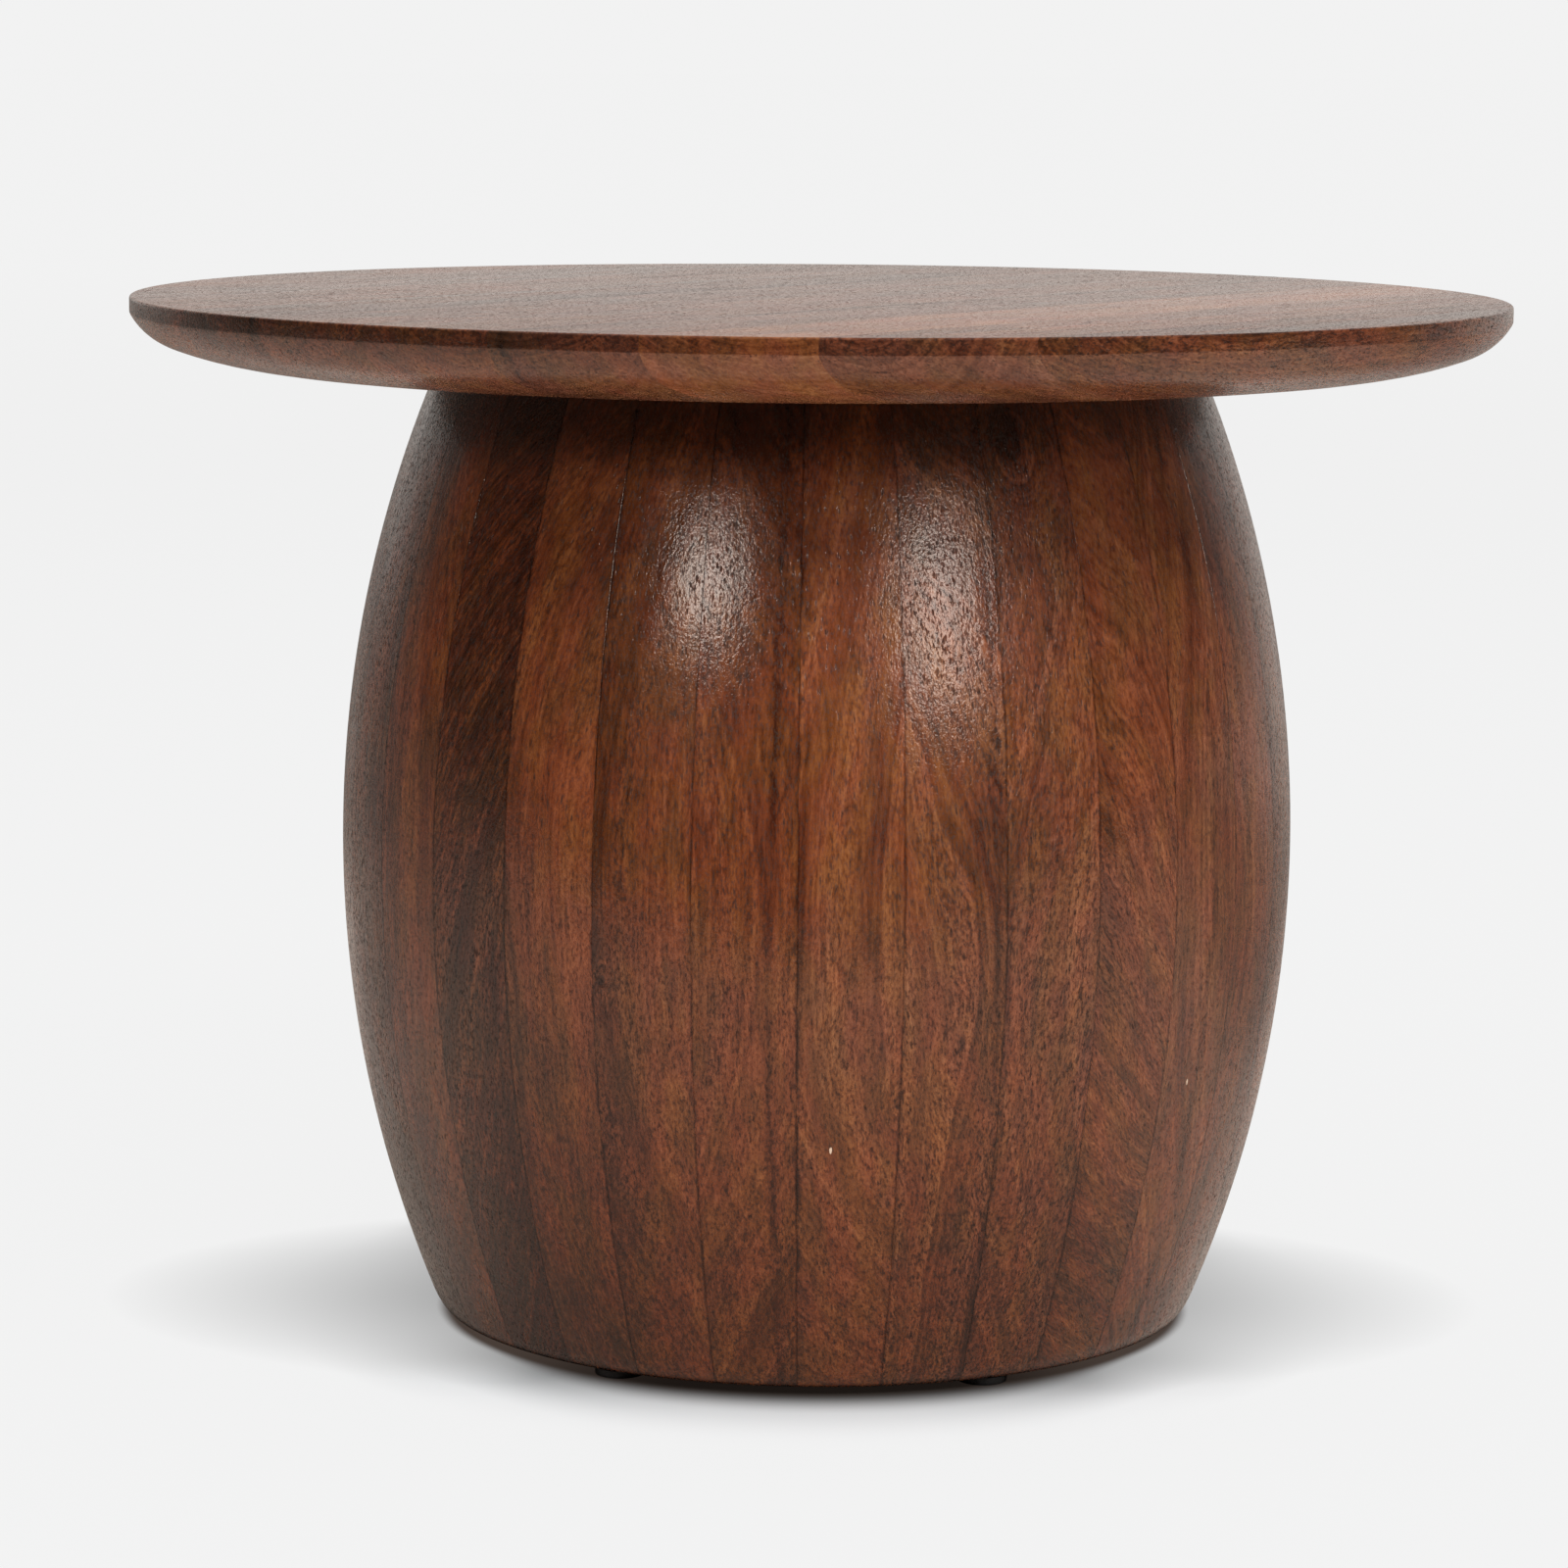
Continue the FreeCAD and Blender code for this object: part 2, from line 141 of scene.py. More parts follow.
def mango_figure():
    """Colour, roughness and relief of mango wood at a place in millimetres, with the grain along Z.
    A noise takes its features in a millimetre deep, across and along the grain, fewest along it."""
    tree, b, given = new_tree(
        "mango_figure", "ShaderNodeTree",
        {"Place": ("Vector", None), "End grain": ("Float", 0.0), "Seed": ("Float", 0.0),
         "Tone": ("Float", 0.5), "Side tone": ("Float", 0.0), "Low tone": ("Float", 0.0),
         "Middle": ("Float", 180.0), "Joint": ("Float", 0.0), "Shade": ("Float", 0.0),
         "Warmth": ("Float", 0.5), "Lean": ("Float", 0.0), "Bow below": ("Float", 0.0),
         "Bow above": ("Float", 0.0), "Wave": ("Float", 6.0), "Pith across": ("Float", 20.0),
         "Pith deep": ("Float", -90.0), "Contrast": ("Float", 0.5), "Pores": ("Float", 0.5),
         "Ripple": ("Float", 0.2), "Fleck relief": ("Float", 0.03), "Streak at": ("Float", 0.0),
         "Streak width": ("Float", 2.0), "Streak depth": ("Float", 0.0), "Knot across": ("Float", 0.0),
         "Knot along": ("Float", 0.0), "Knot size": ("Float", 10.0), "Knot bend": ("Float", 0.0),
         "Filler across": ("Float", 0.0), "Filler along": ("Float", -900.0)},
        {"Colour": "Color", "Roughness": "Float", "Relief": "Float"})
    deep, across, along = b.parts(given["Place"])
    offset = b.point(b.times(given["Seed"], 131.7), b.times(given["Seed"], 71.3),
                     b.times(given["Seed"], 417.1))

    def seeded(x, y, z):
        return b.step("ShaderNodeVectorMath", {0: b.point(x, y, z), 1: offset}, operation="ADD")

    def noise(place, features, detail=2.0, rough=0.5, out=0):
        return b.step("ShaderNodeTexNoise", {"Vector": seeded(*map(b.times, place, features)),
                                             "Scale": 1.0, "Detail": detail, "Roughness": rough},
                      out=out, noise_dimensions="3D")

    def swing(value, reach):
        return b.times(b.minus(value, 0.5), reach)

    # The grain leans, bows towards the ends, wanders, and runs round a knot where there is one. The
    # growth rings lie round the pith, and the fibres follow less of the bow than the rings do.
    below = b.sum("MAXIMUM", b.times(b.minus(given["Middle"], along), 0.01), 0.0)
    above = b.sum("MAXIMUM", b.times(b.minus(along, given["Middle"]), 0.01), 0.0)
    bow = b.plus(b.times(given["Bow below"], b.times(below, below)),
                 b.times(given["Bow above"], b.times(above, above)))
    place = (deep, across, along)
    wander_x, wander_y, _ = b.parts(noise(place, (0.009, 0.016, 0.0065), out="Color"))
    curl = noise(place, (0.05, 0.06, 0.028), 1.0)
    x = b.plus(deep, swing(wander_x, given["Wave"]))
    y = b.plus(b.plus(across, swing(wander_y, given["Wave"])), b.times(along, given["Lean"]))
    y = b.minus(b.plus(y, swing(curl, b.times(given["Wave"], 0.35))), bow)
    knot_y = b.minus(across, given["Knot across"])
    knot_z = b.times(b.minus(along, given["Knot along"]), 0.6)
    knot_near = b.over(b.plus(b.times(knot_y, knot_y), b.times(knot_z, knot_z)),
                       b.times(given["Knot size"], given["Knot size"]))
    knot = b.sum("EXPONENT", b.times(knot_near, -0.5))
    pith_x = b.minus(x, given["Pith deep"])
    pith_y = b.minus(y, given["Pith across"])
    y = b.plus(y, b.times(bow, 0.6))
    growth_at = b.sum("SQRT", b.plus(b.times(pith_x, pith_x), b.times(pith_y, pith_y)))
    growth_at = b.plus(growth_at, b.times(knot, given["Knot bend"]))
    growth_at = b.plus(growth_at, b.times(given["Seed"], 53.0))
    growth = b.step("ShaderNodeTexNoise", {"W": b.times(growth_at, 0.14), "Scale": 1.0,
                                           "Detail": 3.0, "Roughness": 0.55},
                    noise_dimensions="1D")
    lines = b.step("ShaderNodeTexNoise", {"W": b.times(growth_at, 0.75), "Scale": 1.0,
                                          "Detail": 2.0, "Roughness": 0.6}, noise_dimensions="1D")

    # Fibres, blotches and clouds of stain, and ripples across the grain.
    in_grain = (x, y, along)
    fibre = noise(in_grain, (0.6, 0.6, 0.03), 3.0, 0.6)
    blotch = noise(in_grain, (0.02, 0.03, 0.011), 2.0, 0.55)
    cloud = noise(in_grain, (0.11, 0.14, 0.05), 2.0, 0.55)
    ripple = noise(place, (0.02, 0.03, 0.20), 1.0)

    # Open grain: a dense mottle of short dark flecks, coarse in fast growth and fine over all.
    coarse = noise(in_grain, (0.72, 0.72, 0.26), 1.0, 0.6)
    fine = noise(in_grain, (1.3, 1.3, 0.6), 2.0, 0.7)
    open_grain = b.times(b.between(growth, 0.32, 0.68, 0.55, 1.45),
                         b.between(given["Pores"], 0.25, 0.7, 0.7, 1.15))

    # Pores: longer dashes, which the turning cuts short where it runs across the grain.
    cells = tree.nodes.new("ShaderNodeTexVoronoi")
    b.feed(cells, {"Vector": seeded(*map(b.over, in_grain, (1.3, 1.3, 6.0))), "Scale": 1.0})
    core = b.between(cells.outputs["Distance"], 0.34, 0.14)
    chance = b.times(given["Pores"], open_grain)
    pore = b.times(core, b.between(b.parts(cells.outputs["Color"])[0], chance,
                                   b.times(chance, 0.8)))

    # Tone: the rings first, then what makes it lighter or darker by turns, and what darkens it; the
    # last of these, Shade, is painted shade, and painted light where it is below zero.
    knot_here = b.sum("MINIMUM", 1.0, b.times(given["Knot bend"], 0.05))
    knot_dark = b.times(b.between(knot_near, 0.3, 0.06), knot_here)
    knot_ring = b.times(b.between(knot, 0.25, 0.6), knot_here)
    contrast = b.times(given["Contrast"], b.plus(0.9, knot_ring))
    tone = b.plus(given["Tone"], b.plus(swing(growth, contrast), swing(lines, contrast)))
    for share, reach in ((fibre, 0.42), (blotch, 0.3), (cloud, 0.28), (ripple, given["Ripple"])):
        tone = b.plus(tone, swing(share, reach))
    coarse_depth = b.times(open_grain, 0.13)
    for fleck, depth in ((coarse, coarse_depth), (fine, b.plus(0.11, coarse_depth))):
        tone = b.plus(tone, b.times(b.minus(b.between(fleck, 0.3, 0.58), 0.74), depth))
    tone = b.plus(tone, b.times(b.times(across, 0.05), given["Side tone"]))
    tone = b.plus(tone, b.times(given["Low tone"],
                                b.between(b.minus(given["Middle"], along), -40.0, 90.0)))
    streak = b.over(b.minus(b.plus(across, swing(wander_y, 9.0)), given["Streak at"]),
                    given["Streak width"])
    streak = b.sum("EXPONENT", b.times(b.times(streak, streak), -1.0))
    streak = b.times(b.times(streak, given["Streak depth"]), b.between(cloud, 0.38, 0.62, 0.1, 1.2))
    joint_depth = b.between(cloud, 0.4, 0.6, 0.03, 0.22)
    for share, reach in ((knot_dark, 0.28), (knot_ring, 0.05), (streak, 1.0),
                         (given["End grain"], 0.16), (given["Joint"], joint_depth),
                         (given["Shade"], 1.0)):
        tone = b.minus(tone, b.times(share, reach))
    tone = b.sum("MAXIMUM", 0.0, b.sum("MINIMUM", 1.0, tone))

    # Colour: a red-brown and a grey-brown ramp, then the stain's cast, the pores and the filler.
    def ramp(*stops):
        made = tree.nodes.new("ShaderNodeValToRGB")
        tree.links.new(tone, made.inputs[0])
        elements = made.color_ramp.elements
        while len(elements) < len(stops):
            elements.new(0.5)
        for element, (at, colour) in zip(elements, stops):
            element.position = at
            element.color = (*colour, 1.0)
        return made.outputs[0]

    warm = ramp((0.02, (0.012, 0.004, 0.002)), (0.28, (0.045, 0.013, 0.005)),
                (0.5, (0.125, 0.037, 0.0125)), (0.72, (0.215, 0.076, 0.028)),
                (0.98, (0.34, 0.15, 0.068)))
    cool = ramp((0.02, (0.012, 0.005, 0.003)), (0.28, (0.042, 0.0165, 0.009)),
                (0.5, (0.108, 0.042, 0.021)), (0.72, (0.19, 0.086, 0.046)),
                (0.98, (0.30, 0.165, 0.10)))
    warmth = b.plus(given["Warmth"], swing(blotch, 1.2))
    warmth = b.plus(warmth, swing(cloud, 1.2))
    colour = b.blend(b.between(warmth, 0.0, 1.0, soft=False), cool, warm)
    stain = noise((y, x, along), (0.085, 0.06, 0.03), 2.0, 0.6)
    plum_cast, olive_cast = (1.02, 0.885, 1.01, 1.0), (0.985, 1.01, 0.92, 1.0)
    stain = b.blend(b.between(stain, 0.34, 0.66), plum_cast, olive_cast)
    colour = b.blend(1.0, colour, stain, how="MULTIPLY")
    pore_stain, filler_paste = (0.014, 0.007, 0.005, 1.0), (0.60, 0.47, 0.36, 1.0)
    colour = b.blend(b.times(pore, 0.6), colour, pore_stain)
    filler_y = b.over(b.plus(b.minus(across, given["Filler across"]), swing(fine, 0.8)), 0.45)
    filler_z = b.over(b.plus(b.minus(along, given["Filler along"]), swing(coarse, 1.5)), 1.2)
    filler = b.sum("SQRT", b.plus(b.times(filler_y, filler_y), b.times(filler_z, filler_z)))
    colour = b.blend(b.between(filler, 1.15, 0.7), colour, filler_paste)

    # Lacquer: satin on the wood and dull in the pits, and its surface follows the grain in mm.
    pits = b.minus(1.0, b.between(fine, 0.38, 0.48))
    rough = b.plus(b.plus(0.12, b.times(given["Pores"], 0.04)), b.times(pore, 0.3))
    rough = b.plus(rough, b.times(pits, b.plus(0.28, b.times(given["Pores"], 0.30))))
    rough = b.plus(rough, b.plus(swing(growth, 0.15), b.times(streak, 0.25)))
    peel = noise(in_grain, (1.0, 1.0, 0.8), 2.0, 0.6)
    uneven = b.plus(0.05, b.times(given["Pores"], 0.09))
    flecks = b.times(b.minus(b.plus(coarse, fine), 1.0), given["Fleck relief"])
    relief = b.plus(flecks, b.times(b.minus(peel, 0.5), uneven))
    relief = b.plus(relief, swing(cloud, 0.15))
    relief = b.minus(relief, b.plus(b.times(pore, 0.07), b.times(knot_dark, 0.2)))
    relief = b.minus(relief, b.times(streak, 0.15))
    b.feed(tree.nodes.new("NodeGroupOutput"), {"Colour": colour, "Roughness": rough, "Relief": relief})
    return tree


mango = mango_figure()


def mango_wood(name, grain_turn, grain_way, shift, marks_and_shade, look):
    """A lacquered piece of mango wood. grain_turn brings the grain upright, shift is in mm, and
    marks_and_shade works out from place and facing the piece's joint lines and its painted shade and
    light."""
    wood, b, shader = new_finish(name)
    place = b.step("ShaderNodeTexCoord", out="Object")
    facing = b.step("ShaderNodeTexCoord", out="Normal")
    end = b.step("ShaderNodeVectorMath", {0: facing, 1: grain_way}, out="Value",
                 operation="DOT_PRODUCT")
    end = b.between(b.sum("ABSOLUTE", end), 0.5, 0.95)
    turned = b.step("ShaderNodeMapping", {"Vector": place, "Location": shift,
                                          "Rotation": grain_turn,
                                          "Scale": (mm_per_metre,) * 3})
    figure = b.tree.nodes.new("ShaderNodeGroup")
    figure.node_tree = mango
    b.feed(figure, {"Place": turned, "End grain": end, **marks_and_shade(b, turned, facing), **look})
    relief = b.step("ShaderNodeBump", {"Strength": 1.0, "Distance": 1 / mm_per_metre,
                                       "Height": figure.outputs["Relief"]}, out="Normal")
    b.feed(shader, {"Base Color": figure.outputs["Colour"], "Roughness": figure.outputs["Roughness"],
                    "Normal": relief})
    shader.inputs["Specular IOR Level"].default_value = 0.27
    return wood


def stave_joints_and_shade(b, place, facing):
    """A hairline at the glued sides, painted shade towards the upper end where the top overhangs, and
    darker towards the lower end.
    """
    deep, across, along = b.parts(place)
    to_axis = b.plus(deep, mm_per_metre * belly_radius)
    side = b.sum("ABSOLUTE", b.sum("ARCTAN2", across, to_axis))
    joint = b.between(b.times(b.minus(math.pi / stave_count, side), to_axis), 0.9, 0.2)
    # Painted shade at the upper end, under the top's overhang; the lower end is darkened too.
    upper = b.between(along, 320.0, 350.0, 0.0, 0.28)
    lower = b.between(along, 120.0, 12.0, 0.0, 0.08)
    return {"Joint": joint, "Shade": b.plus(upper, lower)}


def stave_tree():
    """One turned stave: a closed tube of rows up the drum, each row bent to the stave's plan."""
    tree, b, given = new_tree(
        "turned_stave", "GeometryNodeTree",
        {"Stave count": ("Int", stave_count), "Stave angle": ("Float", 0.0),
         "Belly radius": ("Float", belly_radius), "Belly height": ("Float", belly_height),
         "Side arc": ("Float", side_arc), "Low end": ("Float", drum_low),
         "High end": ("Float", drum_high), "Foot round": ("Float", foot_round),
         "Foot round high": ("Float", foot_round_high), "Foot rows": ("Int", foot_rows),
         "Bore flat": ("Float", bore_flat), "Rebate radius": ("Float", rebate_radius),
         "Ledge height": ("Float", ledge_height), "Eased edge": ("Float", eased_edge),
         "Sanding wave": ("Float", sanding_wave), "Facets across": ("Int", facets_across),
         "Facets along": ("Int", facets_along), "Finish": ("Material", None)},
        {"Stave": "Geometry"})

    # Each row has the corners of the outer face and four more, at the ends of the two glued sides.
    # Above the rows of the foot and the side come the three of the rebate.
    side_rows = b.plus(given["Facets along"], given["Foot rows"])
    rows = b.plus(side_rows, 3.0)
    round_points = b.plus(given["Facets across"], 5.0)
    tube = b.step("GeometryNodeMeshCylinder",
                  {"Vertices": round_points, "Side Segments": rows, "Radius": 1.0, "Depth": 1.0},
                  fill_type="NGON")
    tube_x, tube_y, tube_z = b.parts(b.step("GeometryNodeInputPosition"))
    turn = b.over(b.sum("ARCTAN2", tube_y, tube_x), 2 * math.pi)
    corner = b.sum("ROUND", b.times(b.sum("FLOORED_MODULO", b.plus(turn, 1.0001), 1.0),
                                    round_points))
    corner = b.sum("FLOORED_MODULO", corner, round_points)
    low_z = b.sum("MINIMUM", b.plus(tube_z, 0.5), 1.0)
    low_z = b.sum("MAXIMUM", low_z, 0.0)
    row = b.sum("ROUND", b.times(low_z, rows))

    # Height of each row: the rounded foot, the long side, the ledge, and the rebate above it.
    up = b.between(b.over(b.minus(row, given["Foot rows"]), given["Facets along"]), 0.0, 1.0,
                   soft=False)
    side_low = b.plus(given["Low end"], given["Foot round high"])
    height = b.plus(side_low, b.times(up, b.minus(given["Ledge height"], side_low)))
    at_foot = b.times(b.between(b.over(row, given["Foot rows"]), 0.0, 1.0, soft=False), math.pi / 2)
    height = b.minus(height, b.times(b.sum("COSINE", at_foot), given["Foot round high"]))
    above = b.minus(row, b.plus(side_rows, 1.0))
    in_rebate = b.sum("GREATER_THAN", above, -0.5)
    height = b.plus(height, b.times(in_rebate, ledge_step))
    rebate_up = b.between(b.over(above, 2.0), 0.0, 1.0, soft=False)
    rebate_high = b.minus(b.minus(given["High end"], ledge_step), given["Ledge height"])
    height = b.plus(height, b.times(rebate_up, rebate_high))

    # Radius outside: the barrel arc, less the round at the foot.
    away = b.minus(height, given["Belly height"])
    arc = b.sum("SQRT", b.minus(b.times(given["Side arc"], given["Side arc"]), b.times(away, away)))
    outside = b.plus(b.minus(given["Belly radius"], given["Side arc"]), arc)
    outside = b.minus(outside, b.times(b.minus(1.0, b.sum("SINE", at_foot)), given["Foot round"]))

    # Plan: the outer face with its corners eased, then the two glued sides and the flat inside.
    half = b.over(math.pi, given["Stave count"])
    ease_angle = b.over(given["Eased edge"], outside)
    on_face = b.sum("LESS_THAN", corner, b.plus(given["Facets across"], 0.5))
    face_share = b.over(corner, given["Facets across"])
    face_angle = b.times(b.minus(b.times(face_share, 2.0), 1.0), b.minus(half, ease_angle))
    side = b.minus(corner, given["Facets across"])
    plus_side = b.sum("LESS_THAN", side, 2.5)
    side_angle = b.times(half, b.minus(b.times(plus_side, 2.0), 1.0))
    angle = b.plus(b.times(on_face, face_angle), b.times(b.minus(1.0, on_face), side_angle))
    is_inner = b.times(b.sum("GREATER_THAN", side, 1.5), b.sum("LESS_THAN", side, 3.5))
    bore = b.over(given["Bore flat"], b.sum("COSINE", angle))
    inside = b.plus(b.times(in_rebate, given["Rebate radius"]),
                    b.times(b.minus(1.0, in_rebate), bore))
    edge_in = b.times(b.minus(1.0, on_face), given["Eased edge"])
    radius = b.plus(b.times(is_inner, inside),
                    b.times(b.minus(1.0, is_inner), b.minus(outside, edge_in)))
    whole = b.plus(angle, given["Stave angle"])

    # Hand sanding leaves the barrel a hair uneven.
    spot = b.point(b.times(b.sum("COSINE", whole), outside),
                   b.times(b.sum("SINE", whole), outside), height)
    uneven = b.step("ShaderNodeTexNoise",
                    {"Vector": spot, "Scale": sanding_waves_per_metre, "Detail": 1.0},
                    noise_dimensions="3D")
    radius = b.plus(radius, b.times(b.times(b.minus(uneven, 0.5), b.minus(1.0, is_inner)),
                                    b.times(given["Sanding wave"], 2.0)))
    place = b.point(b.times(b.sum("COSINE", whole), radius),
                    b.times(b.sum("SINE", whole), radius), height)
    solid = b.step("GeometryNodeSetPosition", {"Geometry": tube, "Position": place})
    solid = b.step("GeometryNodeSetShadeSmooth", {0: solid, "Shade Smooth": True}, domain="FACE")
    soft = b.sum("LESS_THAN", b.step("GeometryNodeInputMeshEdgeAngle"), wood_crease)
    solid = b.step("GeometryNodeSetShadeSmooth", {0: solid, "Shade Smooth": soft}, domain="EDGE")
    solid = b.step("GeometryNodeRealizeInstances", {0: solid})
    solid = b.step("GeometryNodeSetMaterial", {0: solid, "Material": given["Finish"]})
    tree.links.new(solid, tree.nodes.new("NodeGroupOutput").inputs[0])
    return tree


def made_by(tree, name, blank=None, **values):
    """A plain mesh from a tree: the inputs are set by identifier, and the modifier goes again."""
    piece = bpy.data.objects.new(name, blank or bpy.data.meshes.new(name))
    bpy.context.scene.collection.objects.link(piece)
    work = piece.modifiers.new("work", "NODES")
    work.node_group = tree
    wanted = {key.replace("_", " ").lower(): value for key, value in values.items()}
    for socket in tree.interface.items_tree:
        if socket.in_out == "INPUT" and socket.name.lower() in wanted:
            work[socket.identifier] = wanted.pop(socket.name.lower())
    assert not wanted, f"{tree.name} has no input {sorted(wanted)}"
    ready = piece.evaluated_get(bpy.context.evaluated_depsgraph_get())
    mesh = bpy.data.meshes.new_from_object(ready)
    piece.modifiers.clear()
    piece.data = mesh
    mesh.name = name
    return piece


# What each stave looks like, from its own board. The staves behind take a seeded draw.
stave_look_names = ("Tone", "Side tone", "Low tone", "Warmth", "Lean", "Bow below", "Bow above",
                    "Wave", "Pith across", "Contrast", "Pores")
stave_looks = {
    24: (0.39, 0.00, -0.03, 0.40, 0.01, 0, 0, 8, 30, 0.25, 0.6),
    25: (0.35, 0.00, -0.07, 0.50, 0.02, 0, 0, 8, -30, 0.25, 0.6),
    26: (0.41, 0.04, -0.02, 0.70, 0.00, 0, 6, 7, 40, 0.25, 0.3),
    27: (0.30, -0.02, -0.05, 0.70, -0.10, 0, 25, 8, 55, 0.33, 0.5),
    28: (0.47, 0.02, -0.06, 0.80, 0.03, 12, 25, 10, 40, 0.2, 0.35),
    29: (0.45, 0.06, -0.02, 0.80, 0.00, 6, 0, 6, -50, 0.2, 0.35),
    30: (0.47, -0.04, 0.00, 1.00, 0.01, 0, 0, 7, 35, 0.25, 0.4),
    1: (0.55, 0.00, -0.05, 0.85, 0.00, 26, 0, 6, -60, 0.25, 0.45),
    2: (0.52, -0.03, -0.07, 0.65, 0.08, 8, 0, 12, 45, 0.35, 0.65),
    3: (0.53, 0.00, -0.07, 0.65, -0.05, 0, 0, 12, -50, 0.3, 0.65),
    4: (0.60, 0.00, -0.12, 0.75, 0.07, 32, -10, 14, 50, 0.32, 0.4),
    5: (0.56, -0.02, -0.03, 0.80, 0.03, 0, 0, 10, -45, 0.4, 0.3),
    6: (0.48, -0.02, -0.03, 0.75, 0.02, 0, 0, 8, 35, 0.3, 0.3),
    7: (0.45, 0.00, 0.0, 0.55, 0.01, 0, 0, 8, -35, 0.25, 0.4),
}
stave_middle = {1: 140.0, 4: 290.0, 27: 120.0}  # where the bow of the grain starts, in mm
stave_ripple = {4: 0.16}  # strength of the bands across the grain
streak_names = ("Streak at", "Streak width", "Streak depth")
stave_streaks = {
    27: (12.0, 1.6, 0.10), 29: (-15.0, 3.0, 0.06), 30: (8.5, 1.6, 0.18), 1: (-17.0, 1.6, 0.2),
    5: (4.0, 2.5, 0.18), 28: (-16.0, 2.0, 0.06), 3: (-16.0, 1.2, 0.12), 6: (-8.0, 2.0, 0.12),
    4: (-15.0, 3.0, 0.1), 2: (15.0, 1.4, 0.14), 26: (-8.0, 2.5, 0.1),
}
knot_names = ("Knot across", "Knot along", "Knot size", "Knot bend")
stave_knots = {
    3: (-6.0, 341.0, 13.0, 42.0), 29: (-15.0, 152.0, 3.0, 9.0), 1: (17.0, 112.0, 3.5, 12.0),
}
filler_names = ("Filler across", "Filler along")
stave_fillers = {1: (-5.9, 95.0), 5: (-3.0, 108.0)}

drum = bpy.data.collections.new("drum")
one_stave = stave_tree()
for number in range(1, stave_count + 1):
    draw = random.Random(700 + number)
    look = dict(zip(stave_look_names, stave_looks.get(number) or (
        draw.uniform(0.40, 0.56), draw.uniform(-0.05, 0.05), draw.uniform(-0.08, 0.04),
        draw.uniform(0.5, 0.9), draw.uniform(-0.1, 0.1), draw.uniform(-10, 25),
        draw.uniform(-10, 20), draw.uniform(6, 14), draw.choice((-1, 1)) * draw.uniform(20, 60),
        draw.uniform(0.2, 0.4), draw.uniform(0.3, 0.6))))
    look.update(zip(streak_names, stave_streaks.get(number, (
        draw.uniform(-16, 16), draw.uniform(1, 3), draw.choice((0.0, 0.0, 0.15, 0.25))))))
    look.update(zip(knot_names, stave_knots.get(number, ())))
    look.update(zip(filler_names, stave_fillers.get(number, ())))
    look.update({"Seed": 0.37 * number, "Pith deep": -70.0 - 3.0 * (number % 7),
                 "Middle": stave_middle.get(number, 170.0),
                 "Ripple": stave_ripple.get(number, 0.08)})
    stave_angle = math.radians(first_stave_angle + 360 / stave_count * (number - 1) - 90)
    finish = mango_wood(
        f"mango_stave_{number:02d}", (0.0, 0.0, -stave_angle), (0.0, 0.0, 1.0),
        shift=(-mm_per_metre * belly_radius, 0.0, 0.0), marks_and_shade=stave_joints_and_shade, look=look)
    stave = made_by(one_stave, f"drum_stave_{number:02d}", Stave_angle=stave_angle, Finish=finish)
    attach(stave, "root")
    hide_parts(f"stave_{number:02d}")
    drum.objects.link(stave)


# The fixing plate

# A disc of birch plywood, let into the upper end of the drum on the staves' ledge.
# It is screwed down to the ledge, and the top is screwed to it from below.

plate_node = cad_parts["fixing_plate"]
plate_high = drum_high
ply_thickness = 1.4  # mm, thirteen plies


def plywood():
    """Veneer on the faces, with the plies showing as bands round the edge."""
    wood, b, shader = new_finish("birch_plywood")
    place = b.step("ShaderNodeMapping", {"Vector": b.step("ShaderNodeTexCoord", out="Object"),
                                         "Scale": (mm_per_metre,) * 3})
    x, y, z = b.parts(place)
    facing = b.sum("ABSOLUTE", b.parts(b.step("ShaderNodeTexCoord", out="Normal"))[2])
    ply = b.sum("FLOOR", b.over(z, ply_thickness))
    cross_ply = b.sum("FLOORED_MODULO", ply, 2.0)
    veneer = b.step("ShaderNodeTexNoise",
                    {"Vector": b.point(b.times(x, 0.03), b.times(y, 0.6), z), "Scale": 1.0,
                     "Detail": 3.0}, noise_dimensions="3D")
    edge = b.step("ShaderNodeTexNoise",
                  {"Vector": b.point(b.times(x, 0.7), b.times(y, 0.7), b.times(z, 2.0)),
                   "Scale": 1.0, "Detail": 2.0}, noise_dimensions="3D")
    face_colour = b.blend(veneer, (0.52, 0.33, 0.17, 1.0), (0.72, 0.52, 0.31, 1.0))
    edge_colour = b.blend(b.plus(b.times(cross_ply, 0.6), b.times(edge, 0.4)),
                          (0.60, 0.42, 0.24, 1.0), (0.26, 0.14, 0.07, 1.0))
    colour = b.blend(b.between(facing, 0.4, 0.8), edge_colour, face_colour)
    relief = b.step("ShaderNodeBump", {"Strength": 1.0, "Distance": 0.0001, "Height": veneer},
                    out="Normal")
    b.feed(shader, {"Base Color": colour, "Roughness": b.plus(0.55, b.times(veneer, 0.2)),
                    "Normal": relief})
    return wood


plate_node.data.materials.clear()
plate_node.data.materials.append(plywood())


# Screws that hold the plate down

# Six zinc-plated countersunk screws, driven through the plate into the ledge, one in every
# fifth stave. They sit under the top and show only when it is off.


def zinc_plate():
    """Bright zinc on steel, a little clouded."""
    metal, b, shader = new_finish("zinc_plate")
    place = b.step("ShaderNodeTexCoord", out="Object")
    cloud = b.step("ShaderNodeTexNoise", {"Vector": place, "Scale": 380.0, "Detail": 3.0},
                   noise_dimensions="3D")
    shader.inputs["Metallic"].default_value = 1.0
    colour = b.blend(cloud, (0.50, 0.51, 0.53, 1.0), (0.74, 0.75, 0.76, 1.0))
    b.feed(shader, {"Base Color": colour, "Roughness": b.between(cloud, 0.2, 0.8, 0.24, 0.42)})
    return metal


metal_crease = math.radians(35)
crest_share = 0.3  # of the pitch, from a thread's crest down to its root


